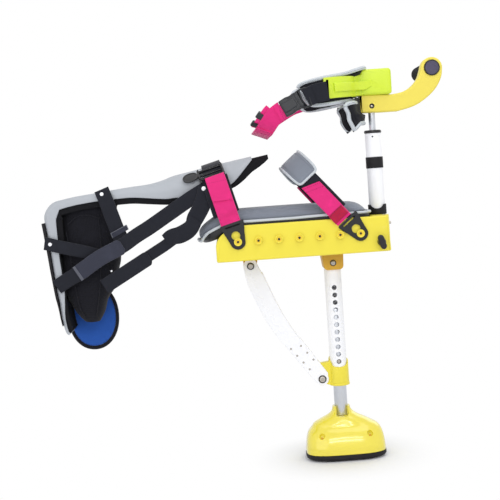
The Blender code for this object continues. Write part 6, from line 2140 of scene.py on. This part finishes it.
class WALKER_OT_brace_straps(bpy.types.Operator):
    """Make the brace's black straps with their rivets"""

    bl_idname = "walker.brace_straps"
    bl_label = "Brace straps"

    def execute(self, context):
        for name, details in BRACE_STRAPS.items():
            brace_tape(name, *details)
        piece("long_tape_roll", tape_bulge(), "black_webbing", "leg_brace", ["long_strap_side"], SOFT)
        rivets = [rivet(*place) for place in RIVETS]
        piece("brace_rivets", rivets, "rivet", "leg_brace")
        corners = np.array([(-339.3, -28.7), (-308.1, -14.4), (-305, -23.3), (-336.1, -37.7)])
        slide = slab(fillet(corners, 2, 4), 1.2, 0.8, -52.6)
        piece("ankle_slide", slide, "doubled", "leg_brace", ["ankle_strap"])
        ends = [pipe(upright(corners[[a, b]], -54), 0.9, (0, 1, 0), columns=8)
                for a, b in ((0, 3), (1, 2), (0, 1))]
        piece("ankle_slide_rim", ends, "mark", "leg_brace", ["ankle_strap"])
        return {"FINISHED"}


class WALKER_OT_knob(bpy.types.Operator):
    """Make the wing knob"""

    bl_idname = "walker.knob"
    bl_label = "Wing knob"

    def execute(self, context):
        piece("wing_grip", knob_patches(), "black_plastic", "knob", ["wing_knob"])
        return {"FINISHED"}


class WALKER_OT_stage(bpy.types.Operator):
    """Make the floor, the studio light and the camera"""

    bl_idname = "walker.stage"
    bl_label = "Stage"

    def execute(self, context):
        settings = context.scene.walker_stage
        make_world(settings)
        make_floor(settings)
        lamp("key", (0.5, -0.9, 2.2), (0, 0, -0.1), 2.2, settings.key)
        lamp("fill", (-1.6, -2.4, 0.7), (0, 0, -0.1), 2.4, settings.fill)
        for name, height in (("strip_high", 1.15), ("strip_low", 0.8)):
            lamp(name, (0.25, -2.3, height), (0.05, 0, -0.35), 1.3, settings.fill * 0.3, 0.07)
        lamp("rim", (1.6, 1.8, 1.2), (0, 0, -0.1), 1.8, settings.fill * 0.7)
        make_camera(settings)
        return {"FINISHED"}


def aimed(place, target):
    """A matrix at a place whose -Z looks at a target."""
    place, target = Vector(place), Vector(target)
    return Matrix.Translation(place) @ (target - place).to_track_quat("-Z", "Y").to_matrix().to_4x4()


def lamp(name, place, target, size, power, height=None):
    """A round area light, or a strip light where it has a height."""
    light = bpy.data.lights.new(name, "AREA")
    light.shape, light.size, light.energy = "RECTANGLE" if height else "DISK", size, power
    light.size_y = height or size
    obj = bpy.data.objects.new(name, light)
    obj.matrix_world = aimed(place, target)
    bpy.context.scene.collection.objects.link(obj)


def make_world(settings):
    """A pale surround that lights the object; white to the camera and in reflections."""
    world = bpy.data.worlds.new("studio")
    b = Board(world)
    camera, glossy, through_glass = (b.add("ShaderNodeLightPath", {}, {}, f"Is {ray} Ray")
                                     for ray in ("Camera", "Glossy", "Transmission"))
    white = b.add("ShaderNodeBackground", {}, {"Color": (1, 1, 1, 1)})
    soft = b.add("ShaderNodeBackground", {}, {"Color": (0.97, 0.985, 1, 1), "Strength": settings.sky})
    seen = b.add("ShaderNodeMixShader", {}, {0: camera.larger(glossy.larger(through_glass)), 1: soft, 2: white})
    b.put(b.tree.nodes["World Output"].inputs["Surface"], seen)
    bpy.context.scene.world = world


def make_floor(settings):
    """A round floor under the foot that turns plain white further out."""
    radius = np.array([0.001, 200, 500, 1200, 3000, 9000])
    rings = lathe(np.stack([radius, np.full(len(radius), SOLE_BOTTOM)], 1), (0, 0, 0), columns=64)
    floor = bpy.data.objects.new("studio_floor", mesh_of("studio_floor", [Patch(rings, caps=None)]))
    bpy.context.scene.collection.objects.link(floor)
    b = Paint("floor_paint")
    x, y, _ = b.axes(b.place)
    far = (((x - FOOT_X * MM) ** 2 + y * y) ** 0.5).between(0.05, 0.2)
    pale = tuple(settings.floor)
    shader = b.shade(Base_Color=b.mix(pale, shade_of(pale, 1.02), b.noise(60, 4)), Roughness=0.7)
    path = b.add("ShaderNodeLightPath", {}, {})
    glow = b.add("ShaderNodeEmission", {}, {"Color": (1, 1, 1, 1), "Strength": 1})
    made = b.add("ShaderNodeMixShader", {}, {0: far * path, 1: Link(b, b.shader.outputs[0]), 2: glow})
    b.put(b.out.inputs["Surface"], made)
    floor.data.materials.append(shader)


def make_camera(settings):
    """The photograph's camera: 2.08 m off, 4 degrees down, turned 4 degrees about its own axis, with
    the leg's socket at a given pixel."""
    sensor, picture, seen_at, distance = 36, 500, (332.7, 262.6), 2.084
    pixels = settings.lens / sensor * picture
    yaw, pitch, roll = math.radians(1), math.atan(74 / 1050), math.radians(4)
    ahead = np.array([math.sin(yaw) * math.cos(pitch), math.cos(yaw) * math.cos(pitch), -math.sin(pitch)])
    sideways = np.array([math.cos(yaw), -math.sin(yaw), 0])
    above = np.cross(sideways, ahead)
    right = math.cos(roll) * sideways - math.sin(roll) * above
    up = math.sin(roll) * sideways + math.cos(roll) * above
    middle = picture / 2
    ray = right * (seen_at[0] - middle) / pixels + up * (middle - seen_at[1]) / pixels + ahead
    place = np.array([POLE_X, -17, -119]) * MM - ray * distance
    camera = bpy.data.cameras.new("camera")
    camera.lens = settings.lens
    camera.sensor_width = sensor
    camera.clip_end = 50
    obj = bpy.data.objects.new("camera", camera)
    turn = np.stack([right, up, -ahead, place], 1)
    obj.matrix_world = Matrix([*turn.tolist(), [0, 0, 0, 1]])
    bpy.context.scene.collection.objects.link(obj)
    bpy.context.scene.camera = obj
    bpy.context.scene.view_settings.view_transform = "Standard"


class WALKER_PT_panel(bpy.types.Panel):
    """Lists the walker's settings and the operators that make its pieces"""

    bl_idname = "WALKER_PT_panel"
    bl_label = "Knee Walker"
    bl_space_type = "VIEW_3D"
    bl_region_type = "UI"
    bl_category = "Walker"

    def draw(self, context):
        """One column for each group of settings, then a button for each operator."""
        layout = self.layout
        for group in (context.scene.walker_sizes, context.scene.walker_colours, context.scene.walker_stage):
            column = layout.column(align=True)
            for name in type(group).__annotations__:
                column.prop(group, name)
        for operator in OPERATORS:
            layout.operator(operator.bl_idname)


OPERATORS = (
    WALKER_OT_stage, WALKER_OT_platform, WALKER_OT_cushion, WALKER_OT_leg, WALKER_OT_strut, WALKER_OT_foot,
    WALKER_OT_post, WALKER_OT_handle, WALKER_OT_cuff, WALKER_OT_thigh_strap, WALKER_OT_front_strap,
    WALKER_OT_rear_strap, WALKER_OT_brace, WALKER_OT_brace_straps, WALKER_OT_knob,
)
GROUPS = {"walker_colours": WalkerColours, "walker_sizes": WalkerSizes, "walker_stage": WalkerStage}


def register():
    """Registers the classes and hangs the settings on the scene."""
    for cls in (*GROUPS.values(), *OPERATORS, WALKER_PT_panel):
        bpy.utils.register_class(cls)
    for name, cls in GROUPS.items():
        setattr(bpy.types.Scene, name, bpy.props.PointerProperty(type=cls))


def unregister():
    """Takes the settings off the scene and unregisters the classes."""
    for name in GROUPS:
        delattr(bpy.types.Scene, name)
    for cls in (WALKER_PT_panel, *reversed(OPERATORS), *GROUPS.values()):
        bpy.utils.unregister_class(cls)


def main():
    """Builds every piece through its operator."""
    register()
    for operator in OPERATORS:
        group, name = operator.bl_idname.split(".")
        getattr(getattr(bpy.ops, group), name)()


if __name__ == "__main__":
    main()
